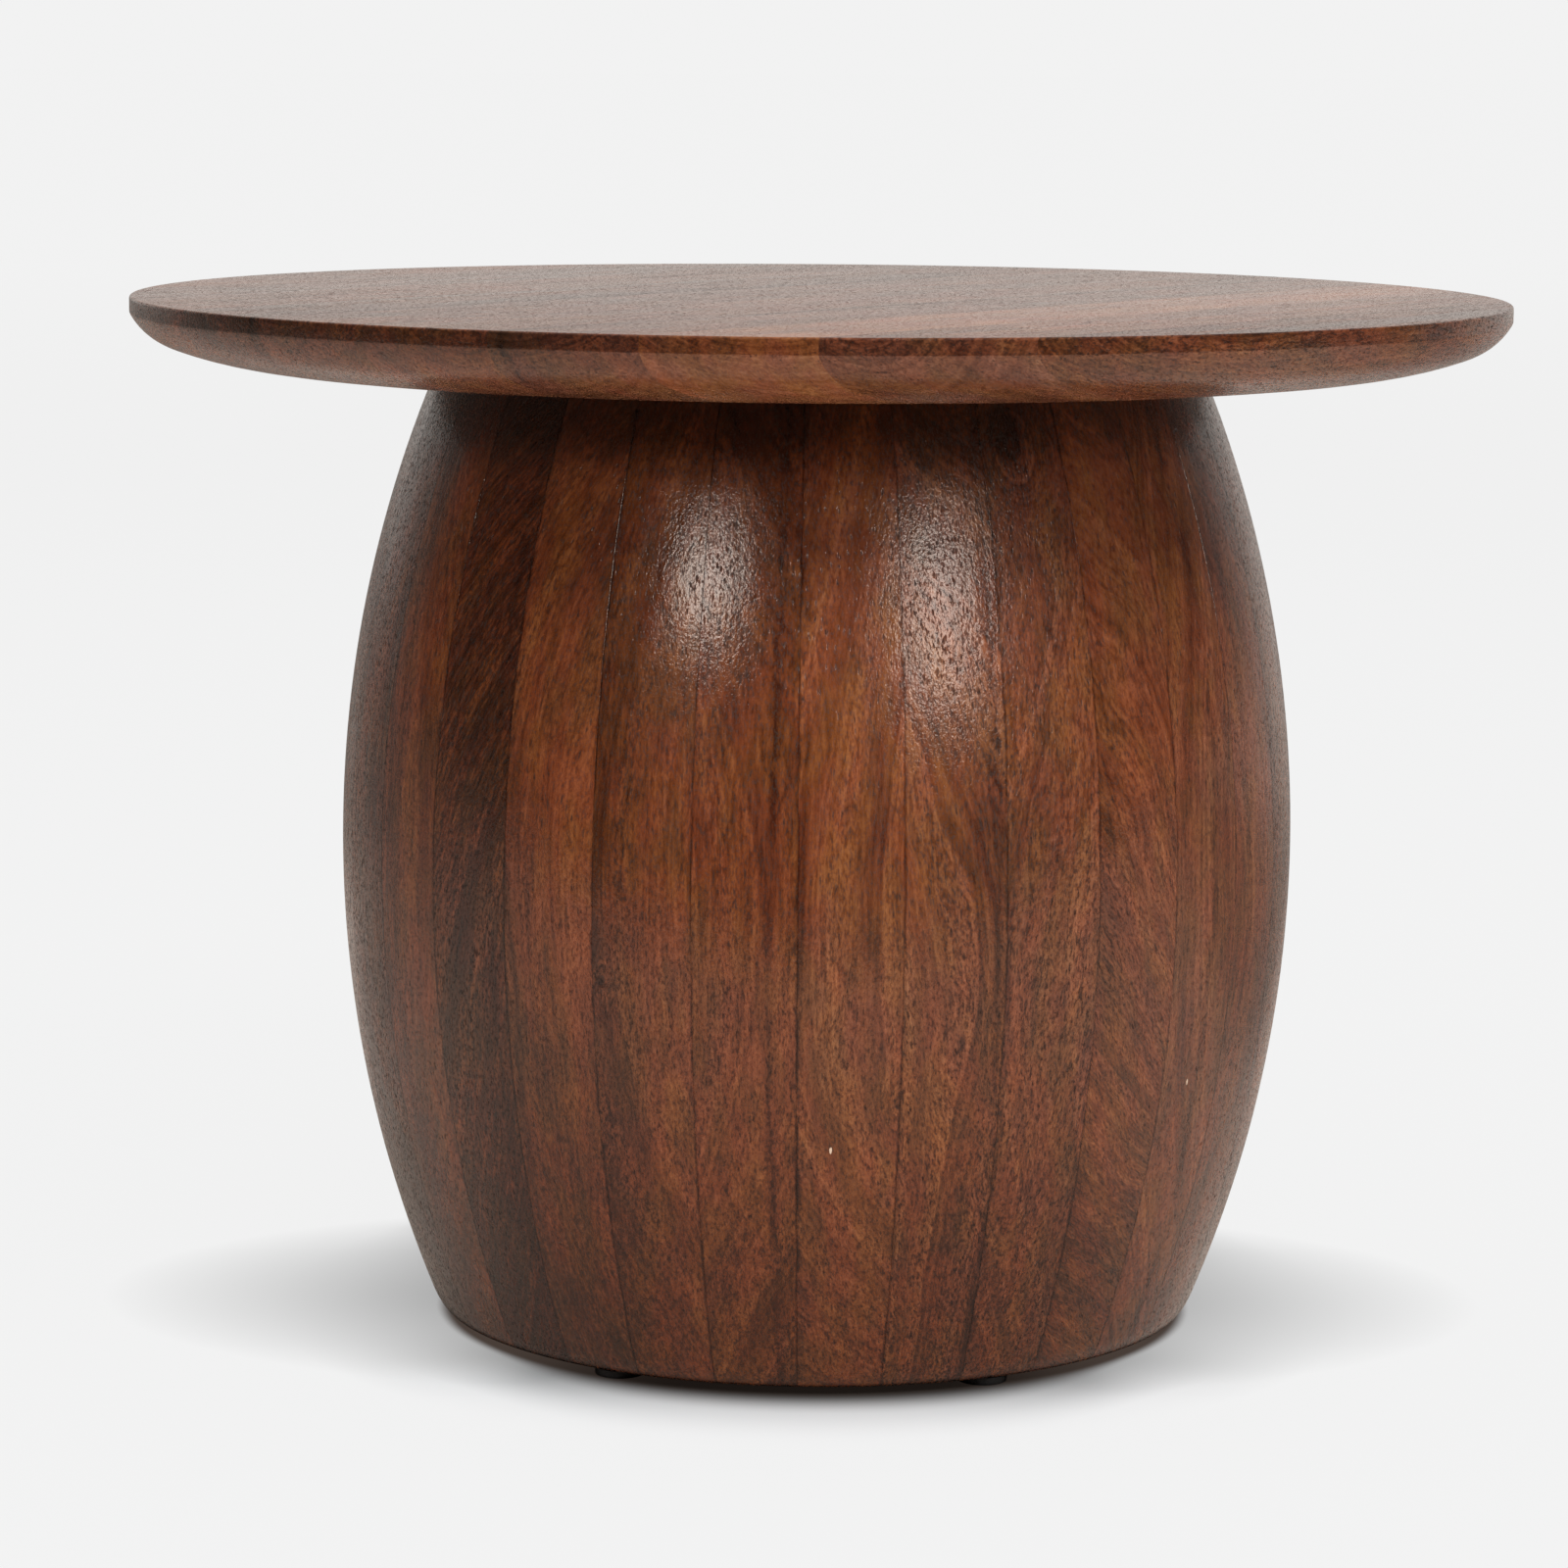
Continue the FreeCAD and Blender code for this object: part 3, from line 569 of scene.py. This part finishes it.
def turned_blank(name, rows, steps, closed=False, pitch=1.0):
    """A turned piece from rows in mm of radius, height and, where it has a thread, ridge."""
    piece = bmesh.new()
    rings = []
    for radius, height, *ridge in rows:
        ring = []
        for i in range(1 if radius == 0 else steps):
            turn = i / steps
            crest = 1 - abs((height / pitch + turn) % 1 - 0.5) / crest_share
            reach = radius + max(0.0, crest) * (ridge[0] if ridge else 0.0)
            spot = (reach * math.cos(2 * math.pi * turn), reach * math.sin(2 * math.pi * turn), height)
            ring.append(piece.verts.new([length / mm_per_metre for length in spot]))
        rings.append(ring)
    for one, two in zip(rings, rings[1:] + rings[:1] if closed else rings[1:]):
        for i in range(steps):
            j = (i + 1) % steps
            corners = [one[i % len(one)], two[i % len(two)], two[j % len(two)], one[j % len(one)]]
            piece.faces.new(dict.fromkeys(corners)).smooth = True
    bmesh.ops.recalc_face_normals(piece, faces=piece.faces[:])
    mesh = bpy.data.meshes.new(name)
    piece.to_mesh(mesh)
    piece.free()
    mesh.set_sharp_from_angle(angle=metal_crease)
    return mesh


def cross_cut(mesh, top, depth, reach, width):
    """Cuts the driver's cross into the head, in mm. The arms taper to the bottom of the cut."""
    w, r = width / 2, reach
    plan = [(w, w), (r, w), (r, -w), (w, -w), (w, -r), (-w, -r), (-w, -w), (-r, -w), (-r, w), (-w, w),
            (-w, r), (w, r)]
    mouth, bottom = (1.06, top - 0.1 * depth), (0.5, top + depth)
    tool = bmesh.new()
    upper, lower = ([tool.verts.new([length / mm_per_metre for length in (size * x, size * y, z)])
                     for x, y in plan] for size, z in (mouth, bottom))
    for i in range(len(plan)):
        j = (i + 1) % len(plan)
        tool.faces.new((upper[i], upper[j], lower[j], lower[i]))
    tool.faces.new(upper)
    tool.faces.new(lower)
    bmesh.ops.recalc_face_normals(tool, faces=tool.faces[:])
    driver = bpy.data.objects.new("driver", bpy.data.meshes.new("driver"))
    tool.to_mesh(driver.data)
    tool.free()
    head = bpy.data.objects.new("head", mesh)
    for item in (driver, head):
        bpy.context.scene.collection.objects.link(item)
    cut = head.modifiers.new("cross", "BOOLEAN")
    cut.operation, cut.solver, cut.object = "DIFFERENCE", "EXACT", driver
    ready = head.evaluated_get(bpy.context.evaluated_depsgraph_get())
    made = bpy.data.meshes.new_from_object(ready)
    for item in (driver, head):
        bpy.data.objects.remove(item)
    made.set_sharp_from_angle(angle=metal_crease)
    return made


def threaded(start, end, crest, root, pitch, point):
    """Rows of a wood screw's thread, which starts over one turn and runs out over its point."""
    way = 1 if end > start else -1
    rows_per_turn = 6
    rows = []
    for k in range(int(abs(end - start) / pitch * rows_per_turn)):
        height = start + way * k * pitch / rows_per_turn
        share = min(1.0, abs(end - height) / point)
        run_in = min(1.0, k / rows_per_turn)
        rows.append((root * share + (crest - root) * (1 - run_in), height,
                     (crest - root) * share * run_in))
    return rows + [(0, end)]


def ring_tree():
    """Copies of one fastener at even steps round a circle, each turned with the circle."""
    tree, b, given = new_tree(
        "ring_of_fasteners", "GeometryNodeTree",
        {"Fastener": ("Geometry", None), "How many": ("Int", 6), "Circle radius": ("Float", 0.1),
         "First angle": ("Float", 0.0), "Height": ("Float", 0.0), "Finish": ("Material", None)},
        {"Ring": "Geometry"})
    angle = b.times(b.step("GeometryNodeInputIndex"), b.over(2 * math.pi, given["How many"]))
    angle = b.plus(given["First angle"], angle)
    place = b.point(b.times(b.sum("COSINE", angle), given["Circle radius"]),
                    b.times(b.sum("SINE", angle), given["Circle radius"]), given["Height"])
    points = b.step("GeometryNodePoints", {"Count": given["How many"], "Position": place})
    turn = b.step("FunctionNodeEulerToRotation", {0: b.point(0.0, 0.0, angle)})
    ring = b.step("GeometryNodeInstanceOnPoints",
                  {"Points": points, "Instance": given["Fastener"], "Rotation": turn})
    ring = b.step("GeometryNodeRealizeInstances", {0: ring})
    ring = b.step("GeometryNodeSetMaterial", {0: ring, "Material": given["Finish"]})
    tree.links.new(ring, tree.nodes.new("NodeGroupOutput").inputs[0])
    return tree


def fit_ring(name, node, blank, finish, how_many, circle_radius, first_angle, height=0.0):
    """Puts a ring of fasteners in the place of its node."""
    ring = made_by(ring_of_fasteners, name, blank, Finish=finish, How_many=how_many,
                   Circle_radius=circle_radius, First_angle=math.radians(first_angle), Height=height)
    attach(ring, "root")
    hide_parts(node)


ring_of_fasteners = ring_tree()
zinc = zinc_plate()
fixing_count, fixing_angle = 6, -62.0
plate_screw_circle, plate_screw_pitch = 0.125, 1.8
plate_screw = turned_blank(
    "plate_screw", [(0, 0), (2.9, 0), (3.8, 0), (3.85, -0.15), (2.0, -2.0), (2.0, -6.0), (2.0, -10.0)]
    + threaded(start=-10.2, end=-40.0, crest=2.0, root=1.35, pitch=plate_screw_pitch, point=4.0),
    steps=24, pitch=plate_screw_pitch)
plate_screw = cross_cut(plate_screw, top=0.0, depth=-1.7, reach=2.1, width=1.0)
fit_ring("ledge_screws", "plate_screws", plate_screw, zinc, fixing_count,
         plate_screw_circle, fixing_angle, plate_high)


# The boards of the top

# Ten mango boards glued edge to edge and turned to a disc: an upright band at the rim, and below
# it an undercut of two arcs. They are stained and lacquered as the drum is.

board_count = 10
board_angle = math.radians(53.0)
top_radius, top_low, top_high = 0.254, drum_high, 0.381
arris = 0.001
eased_corner, eased_centre_high = 0.002, 0.3756
edge_arc, edge_centre = 0.025, (0.23193, 0.38674)
inner_arc, flat_radius = 0.12007, 0.1994
arcs_meet = -70.0  # degrees, where the edge arc runs into the inner arc


def top_outline():
    """Half the section of the top, from the face round the rim to the flat underneath."""
    def arc(centre, radius, start, end, steps):
        return [(centre[0] + radius * math.cos(math.radians(start + (end - start) * i / steps)),
                 centre[1] + radius * math.sin(math.radians(start + (end - start) * i / steps)))
                for i in range(steps + 1)]
    return (arc((top_radius - arris, top_high - arris), arris, 90, 0, 5)
            + arc((top_radius - eased_corner, eased_centre_high), eased_corner, 0, -28, 3)
            + arc(edge_centre, edge_arc, -30, arcs_meet, 10)
            + arc((flat_radius, top_low + inner_arc), inner_arc, arcs_meet, -90, 8)[1:])


def turned_disc():
    """The whole top before it is parted into its boards."""
    disc = bmesh.new()
    steps = 288
    outline = top_outline()
    rings = [[disc.verts.new((r * math.cos(2 * math.pi * i / steps),
                              r * math.sin(2 * math.pi * i / steps), z)) for i in range(steps)]
             for r, z in outline]
    for upper, lower in zip(rings, rings[1:]):
        for i in range(steps):
            j = (i + 1) % steps
            disc.faces.new((upper[i], lower[i], lower[j], upper[j])).smooth = True
    disc.faces.new(rings[0])
    disc.faces.new(rings[-1][::-1])
    return disc


board_way = Vector((math.cos(board_angle), math.sin(board_angle), 0.0))
board_side = Vector((-math.sin(board_angle), math.cos(board_angle), 0.0))
board_turn = (Matrix.Rotation(math.radians(-90), 3, "Y")
              @ Matrix.Rotation(-board_angle, 3, "Z")).to_euler("XYZ")
board_width = 2 * top_radius / board_count
board_look_names = ("Tone", "Warmth", "Wave", "Pith deep", "Contrast", "Pores")
board_looks = {
    1: (0.42, 0.50, 10, -40, 0.38, 0.45), 2: (0.54, 0.40, 12, -30, 0.42, 0.35),
    3: (0.68, 0.80, 8, -70, 0.3, 0.2), 4: (0.50, 0.15, 10, -60, 0.33, 0.3),
    5: (0.49, 0.35, 14, -45, 0.28, 0.35), 6: (0.48, 0.40, 10, -80, 0.25, 0.4),
    7: (0.42, 0.40, 12, -55, 0.3, 0.4), 8: (0.48, 0.45, 9, -65, 0.25, 0.4),
    9: (0.46, 0.50, 11, -50, 0.3, 0.4), 10: (0.50, 0.50, 10, -75, 0.25, 0.4),
}
board_streaks = {
    2: (-9.0, 2.0, 0.12), 3: (8.0, 1.6, 0.1), 4: (18.5, 1.8, 0.25), 7: (-21.0, 1.5, 0.2),
    8: (5.0, 2.0, 0.15), 9: (-14.0, 2.5, 0.15),
}
board_knots = {
    2: (11.4, -69.0, 3.0, 9.0), 3: (-11.0, 206.0, 3.5, 10.0), 4: (1.0, 173.0, 5.0, 16.0),
    5: (-11.0, -133.0, 4.0, 10.0), 7: (-20.0, -109.0, 3.0, 9.0), 10: (-6.0, -18.0, 4.0, 12.0),
}
hair = 1e-6


def board_shade_by_facing(b, place, facing):
    """Painted by facing: shade on the face and band, and the undercut lighter as if lit from below."""
    up = b.parts(facing)[2]
    above, below = b.between(up, 0.6, 0.95, 0.05, 0.08), b.between(up, -0.1, -0.35, 0.0, -0.16)
    return {"Shade": b.plus(above, below)}


whole_disc = turned_disc()
for number in range(1, board_count + 1):
    part = whole_disc.copy()
    low_side = -top_radius + board_width * (number - 1)
    for at, way in ((low_side, -1.0), (low_side + board_width, 1.0)):
        if abs(at) > top_radius - hair:
            continue
        cut = bmesh.ops.bisect_plane(
            part, geom=part.verts[:] + part.edges[:] + part.faces[:], plane_co=board_side * at,
            plane_no=board_side * way, clear_outer=True)
        edges = [item for item in cut["geom_cut"] if isinstance(item, bmesh.types.BMEdge)]
        bmesh.ops.contextual_create(part, geom=edges)
    bmesh.ops.recalc_face_normals(part, faces=part.faces[:])
    mesh = bpy.data.meshes.new(f"top_wood_{number:02d}")
    part.to_mesh(mesh)
    part.free()
    mesh.set_sharp_from_angle(angle=wood_crease)
    heart_side = (-1) ** number  # the heart lies left and right of the board by turns
    look = dict(zip(board_look_names, board_looks[number]))
    look.update(zip(streak_names, board_streaks.get(number, ())))
    look.update(zip(knot_names, board_knots.get(number, ())))
    look.update({"Seed": 11.3 + 0.61 * number, "Pith across": 8.0 * heart_side,
                 "Lean": 0.02 * heart_side, "Ripple": 0.06, "Fleck relief": 0.12})
    centre = low_side + board_width / 2
    mesh.materials.append(mango_wood(
        f"mango_board_{number:02d}", board_turn, tuple(board_way),
        shift=(mm_per_metre * top_low, -mm_per_metre * centre, 0.0), marks_and_shade=board_shade_by_facing, look=look))
    board = bpy.data.objects.new(f"table_board_{number:02d}", mesh)
    bpy.context.scene.collection.objects.link(board)
    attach(board, "root")
    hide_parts(f"top_board_{number:02d}")
whole_disc.free()


# Washers and screws that hold the top

# Eight zinc-plated pan-head screws go up through slack holes in the plate, each on a washer, so
# that the top can move with the seasons.

lift_count, lift_circle = 8, 0.1
lift_angle = math.degrees(board_angle) + 180 / lift_count
washer_low = ledge_height - 0.0012
pan_head_low = washer_low - 0.003
top_screw_pitch = 2.2
washer = turned_blank("washer", [(2.7, 0), (7.85, 0), (8.0, 0.15), (8.0, 1.05), (7.85, 1.2),
                                 (2.7, 1.2), (2.55, 1.05), (2.55, 0.15)], steps=40, closed=True)
fit_ring("slack_washers", "top_screw_washers", washer, zinc, lift_count, lift_circle,
         lift_angle, washer_low)
top_screw = turned_blank(
    "top_screw", [(0, 0), (2.9, 0.06), (3.7, 0.35), (4.35, 0.95), (4.68, 1.7), (4.75, 2.4),
                  (4.75, 2.9), (4.65, 3.0), (2.7, 3.0), (2.5, 3.2), (2.5, 10.0), (2.5, 17.0)]
    + threaded(start=17.2, end=38.0, crest=2.5, root=1.7, pitch=top_screw_pitch, point=5.0),
    steps=24, pitch=top_screw_pitch)
top_screw = cross_cut(top_screw, top=0.0, depth=1.9, reach=2.3, width=1.1)
fit_ring("pan_head_screws", "top_screws", top_screw, zinc, lift_count, lift_circle,
         lift_angle, pan_head_low)


# Glides and their nails

# Six black nylon discs under the foot, each held by one round-headed steel nail, whose head sits in
# the disc's recess. They keep the wood off the floor.


def black_nylon():
    """Moulded nylon with a fine texture."""
    nylon, b, shader = new_finish("black_nylon")
    place = b.step("ShaderNodeTexCoord", out="Object")
    grit = b.step("ShaderNodeTexNoise", {"Vector": place, "Scale": 1500.0, "Detail": 2.0},
                  noise_dimensions="3D")
    colour = b.blend(grit, (0.004, 0.004, 0.0045, 1.0), (0.012, 0.012, 0.013, 1.0))
    relief = b.step("ShaderNodeBump", {"Strength": 1.0, "Distance": 0.00004, "Height": grit},
                    out="Normal")
    b.feed(shader, {"Base Color": colour, "Roughness": b.between(grit, 0.2, 0.8, 0.5, 0.7),
                    "Normal": relief})
    shader.inputs["Specular IOR Level"].default_value = 0.2
    return nylon


glide_circle = 0.13
glide = turned_blank("glide", [(1.15, 3), (8.8, 3), (9.0, 2.8), (9.0, 0.7), (8.8, 0.2), (8.3, 0),
                               (3.5, 0), (3.15, 0.2), (3.1, 0.5), (3.1, 1.5), (1.15, 1.5)],
                     steps=48, closed=True)
fit_ring("nylon_glides", "foot_glides", glide, black_nylon(), fixing_count,
         glide_circle, fixing_angle)
nail = turned_blank("nail", [(0, 0.7), (1.6, 0.74), (2.5, 0.88), (2.95, 1.15), (3.0, 1.4),
                             (2.9, 1.5), (1.1, 1.5), (1.1, 8.0), (1.1, 13.6), (0.25, 16.4),
                             (0, 16.5)], steps=24)
fit_ring("glide_pins", "glide_nails", nail, zinc, fixing_count, glide_circle,
         fixing_angle)


# Room, light and camera

# A pale floor that runs to the horizon and a white backdrop. Two softboxes in front make the two
# soft highlights on the drum, and broad soft lights in front, above, to the right and behind fill.

foot_radius = 0.141
foot_edge = 0.137  # where the dark of the gap under the foot begins to fade
floor_half = 40.0
black, white = (0.0, 0.0, 0.0, 1.0), (1.0, 1.0, 1.0, 1.0)


def pale_floor():
    """A pale floor that keeps the table's shadow, with more shadow painted round the foot, and evens
    out to the backdrop's white round it.
    """
    paint = bpy.data.materials.new("studio_floor")
    paint.use_nodes = True
    tree = paint.node_tree
    tree.nodes.clear()
    b = Bench(tree)
    x, y, _ = b.parts(b.step("ShaderNodeTexCoord", out="Object"))
    away = b.sum("SQRT", b.plus(b.times(x, x), b.times(y, y)))
    sideways = b.over(x, b.sum("MAXIMUM", away, 0.01))
    sideways = b.times(sideways, sideways)
    seen = b.step("ShaderNodeLightPath", out="Is Camera Ray")

    # What the table sees: a pool of light in front and shade beside and behind, painted into the
    # floor's colour, and dim nearer the camera.
    dim, bright = (0.06, 0.055, 0.05, 1.0), (0.86, 0.76, 0.67, 1.0)
    close_shade, far_shade = (0.26, 0.23, 0.20, 1.0), (0.56, 0.49, 0.44, 1.0)
    right_shade, beyond = (0.32, 0.28, 0.25, 1.0), (0.2, 0.18, 0.16, 1.0)
    pool = b.blend(b.between(y, -1.1, -0.65), dim, bright)
    shaded = b.blend(b.between(away, 0.15, 0.42), close_shade, far_shade)
    shaded = b.blend(b.between(x, 0.2, 0.5), shaded, right_shade)
    pool = b.blend(b.between(y, -0.1, 0.3), pool, shaded)
    pool = b.blend(b.between(y, 0.6, 1.4), pool, beyond)

    # What the camera sees: white paper with painted shadow on it, dark in the gap under the foot, grey
    # in front of it, and beside it an oval of painted shade that is wider and darker to the left.
    gap_width = b.between(sideways, 0.0, 0.7, 0.028, 0.006)
    gap_width = b.sum("MINIMUM", gap_width, b.between(seen, 0.0, 1.0, 0.006, 0.028))
    gap = b.between(away, foot_edge, b.plus(foot_edge, gap_width))
    painted_contact_shade = b.between(away, foot_radius, b.between(sideways, 0.0, 0.5, 0.2, 0.182),
                     b.between(sideways, 0.0, 0.5, 0.76, 0.24), 1.0, soft=False)
    paper = b.blend(painted_contact_shade, black, (0.83, 0.86, 0.88, 1.0))
    paper = b.blend(seen, pool, paper)
    plain = b.step("ShaderNodeBsdfDiffuse",
                   {"Color": b.blend(gap, (0.03, 0.025, 0.022, 1.0), paper)})
    # Painted shadow on the white the camera sees: an oval beside the foot, and the gap under it
    # painted dark.
    oval_x = b.over(x, b.between(x, -0.1, 0.1, 0.211, 0.198))
    oval_y = b.over(b.minus(y, 0.01), 0.125)
    oval = b.sum("SQRT", b.plus(b.times(oval_x, oval_x), b.times(oval_y, oval_y)))
    grey = b.between(oval, 0.6, 1.28, b.between(x, -0.1, 0.1, 0.412, 0.445), 0.885, soft=False)
    beside = b.between(sideways, 0.35, 0.75)
    ring = b.between(away, foot_radius, 0.205, b.between(sideways, 0.5, 1.0, 0.5, 0.95), 1.0,
                     soft=False)
    grey = b.times(grey, b.minus(1.0, b.times(beside, b.minus(1.0, ring))))
    pale = b.blend(grey, black, white)
    pale = b.blend(gap, (0.075, 0.055, 0.045, 1.0), pale)
    outside = b.between(away, 0.155, 0.215)

    # How much of the floor shows that evened white, and how much the backdrop's sweep lights up.
    even = b.sum("MAXIMUM", b.plus(0.011, b.times(outside, 0.96)), b.times(beside, 0.97))
    under = b.between(sideways, 0.1, 0.8, 0.15, 0.9)
    even = b.plus(b.times(gap, even), b.times(b.minus(1.0, gap), under))
    even = b.plus(even, b.between(away, 3.0, 9.0, 0.0, 0.03))
    sweep = b.sum("MAXIMUM", b.between(x, -0.3, 1.6, 0.14, 0.9), b.between(x, -0.5, -1.0, 0.1, 0.42))
    sweep = b.times(b.between(y, 0.5, 1.6), sweep)
    share = b.plus(b.times(seen, even), b.times(b.minus(1.0, seen), sweep))
    sweep_colour = (0.80, 0.72, 0.66, 1.0)
    glow = b.step("ShaderNodeEmission", {"Color": b.blend(seen, sweep_colour, pale),
                                         "Strength": 1.0})
    mixed = b.step("ShaderNodeMixShader", {0: share, 1: plain, 2: glow})
    tree.links.new(mixed, tree.nodes.new("ShaderNodeOutputMaterial").inputs[0])
    return paint


floor_mesh = bpy.data.meshes.new("floor")
floor_mesh.from_pydata([(-floor_half, -floor_half, 0), (floor_half, -floor_half, 0),
                        (floor_half, floor_half, 0), (-floor_half, floor_half, 0)], [],
                       [(0, 1, 2, 3)])
floor_mesh.materials.append(pale_floor())
floor = bpy.data.objects.new("floor", floor_mesh)
bpy.context.scene.collection.objects.link(floor)

studio = bpy.data.worlds.new("studio")
bpy.context.scene.world = studio
studio.use_nodes = True
b = Bench(studio.node_tree)
studio.node_tree.nodes.clear()
dark_room, backdrop = (0.04, 0.036, 0.034, 1.0), (0.725, 0.665, 0.62, 1.0)
ceiling, backdrop_seen = (0.42, 0.40, 0.38, 1.0), (0.887, 0.887, 0.887, 1.0)
_, way_y, way_z = b.parts(b.step("ShaderNodeTexCoord", out="Generated"))
walls = b.blend(b.between(way_y, 0.3, 0.9), dark_room, backdrop)
walls = b.blend(b.between(way_z, 0.5, 0.8), walls, ceiling)
walls = b.blend(b.step("ShaderNodeLightPath", out="Is Camera Ray"), walls, backdrop_seen)
air = b.step("ShaderNodeBackground", {"Color": walls, "Strength": 1.0})
studio.node_tree.links.new(air, studio.node_tree.nodes.new("ShaderNodeOutputWorld").inputs[0])


lamps_aim_at = Vector((0.0, 0.0, 0.25))
gleam_colour = (1.0, 0.90, 0.81)


def softbox(name, azimuth, elevation, distance, width, height, power, gleam_on=None, fill=True):
    """A soft light at an azimuth and an elevation seen from the front. With gleam_on it lights that
    collection alone and gives it a highlight. Without, it lights all things and gives none."""
    a, e = math.radians(azimuth), math.radians(elevation)
    way = Vector((math.sin(a) * math.cos(e), -math.cos(a) * math.cos(e), math.sin(e)))
    lamp = bpy.data.lights.new(name, "AREA")
    lamp.shape = "RECTANGLE"
    lamp.size, lamp.size_y = width, height
    lamp.energy = power
    box = bpy.data.objects.new(name, lamp)
    box.location = lamps_aim_at + way * distance
    box.rotation_euler = way.to_track_quat("Z", "Y").to_euler()
    box.visible_camera = False
    box.visible_diffuse = fill
    if gleam_on:
        lamp.color = gleam_colour
        box.light_linking.receiver_collection = gleam_on
    else:
        box.visible_glossy = False
    bpy.context.scene.collection.objects.link(box)


softbox("softbox_left", -28, 21, 2.2, 0.50, 0.36, 13.5, gleam_on=drum)
softbox("softbox_right", 30, 18, 2.2, 0.62, 0.60, 22.0, gleam_on=drum, fill=False)
softbox("light_front", 18, 43, 2.6, 2.4, 0.7, 65.0)
softbox("light_above", 0, 89.9, 2.6, 2.4, 2.4, 48.0)
softbox("light_right", 62, 18, 2.6, 0.8, 0.5, 7.0)
softbox("light_behind", 180, 40, 2.8, 2.0, 1.0, 16.0)

lens = bpy.data.cameras.new("camera")
lens.sensor_width = 36.0
lens.lens = 122.36
lens.clip_start, lens.clip_end = 0.05, 200.0
camera = bpy.data.objects.new("camera", lens)
yaw, pitch, roll = -0.0062, 0.1438, 0.0078
camera_place = (0.0, -1.97642, 0.48476)
right = Vector((math.cos(yaw), -math.sin(yaw), 0.0))
ahead = Vector((math.sin(yaw) * math.cos(pitch), math.cos(yaw) * math.cos(pitch), -math.sin(pitch)))
above = Vector((math.sin(yaw) * math.sin(pitch), math.cos(yaw) * math.sin(pitch), math.cos(pitch)))
camera_x = right * math.cos(roll) + above * math.sin(roll)
camera_y = above * math.cos(roll) - right * math.sin(roll)
camera.matrix_world = Matrix([(*row, 0.0) for row in (camera_x, camera_y, -ahead)]
                             + [(*camera_place, 1.0)]).transposed()
bpy.context.scene.collection.objects.link(camera)
bpy.context.scene.camera = camera
bpy.context.scene.view_settings.view_transform = "Standard"
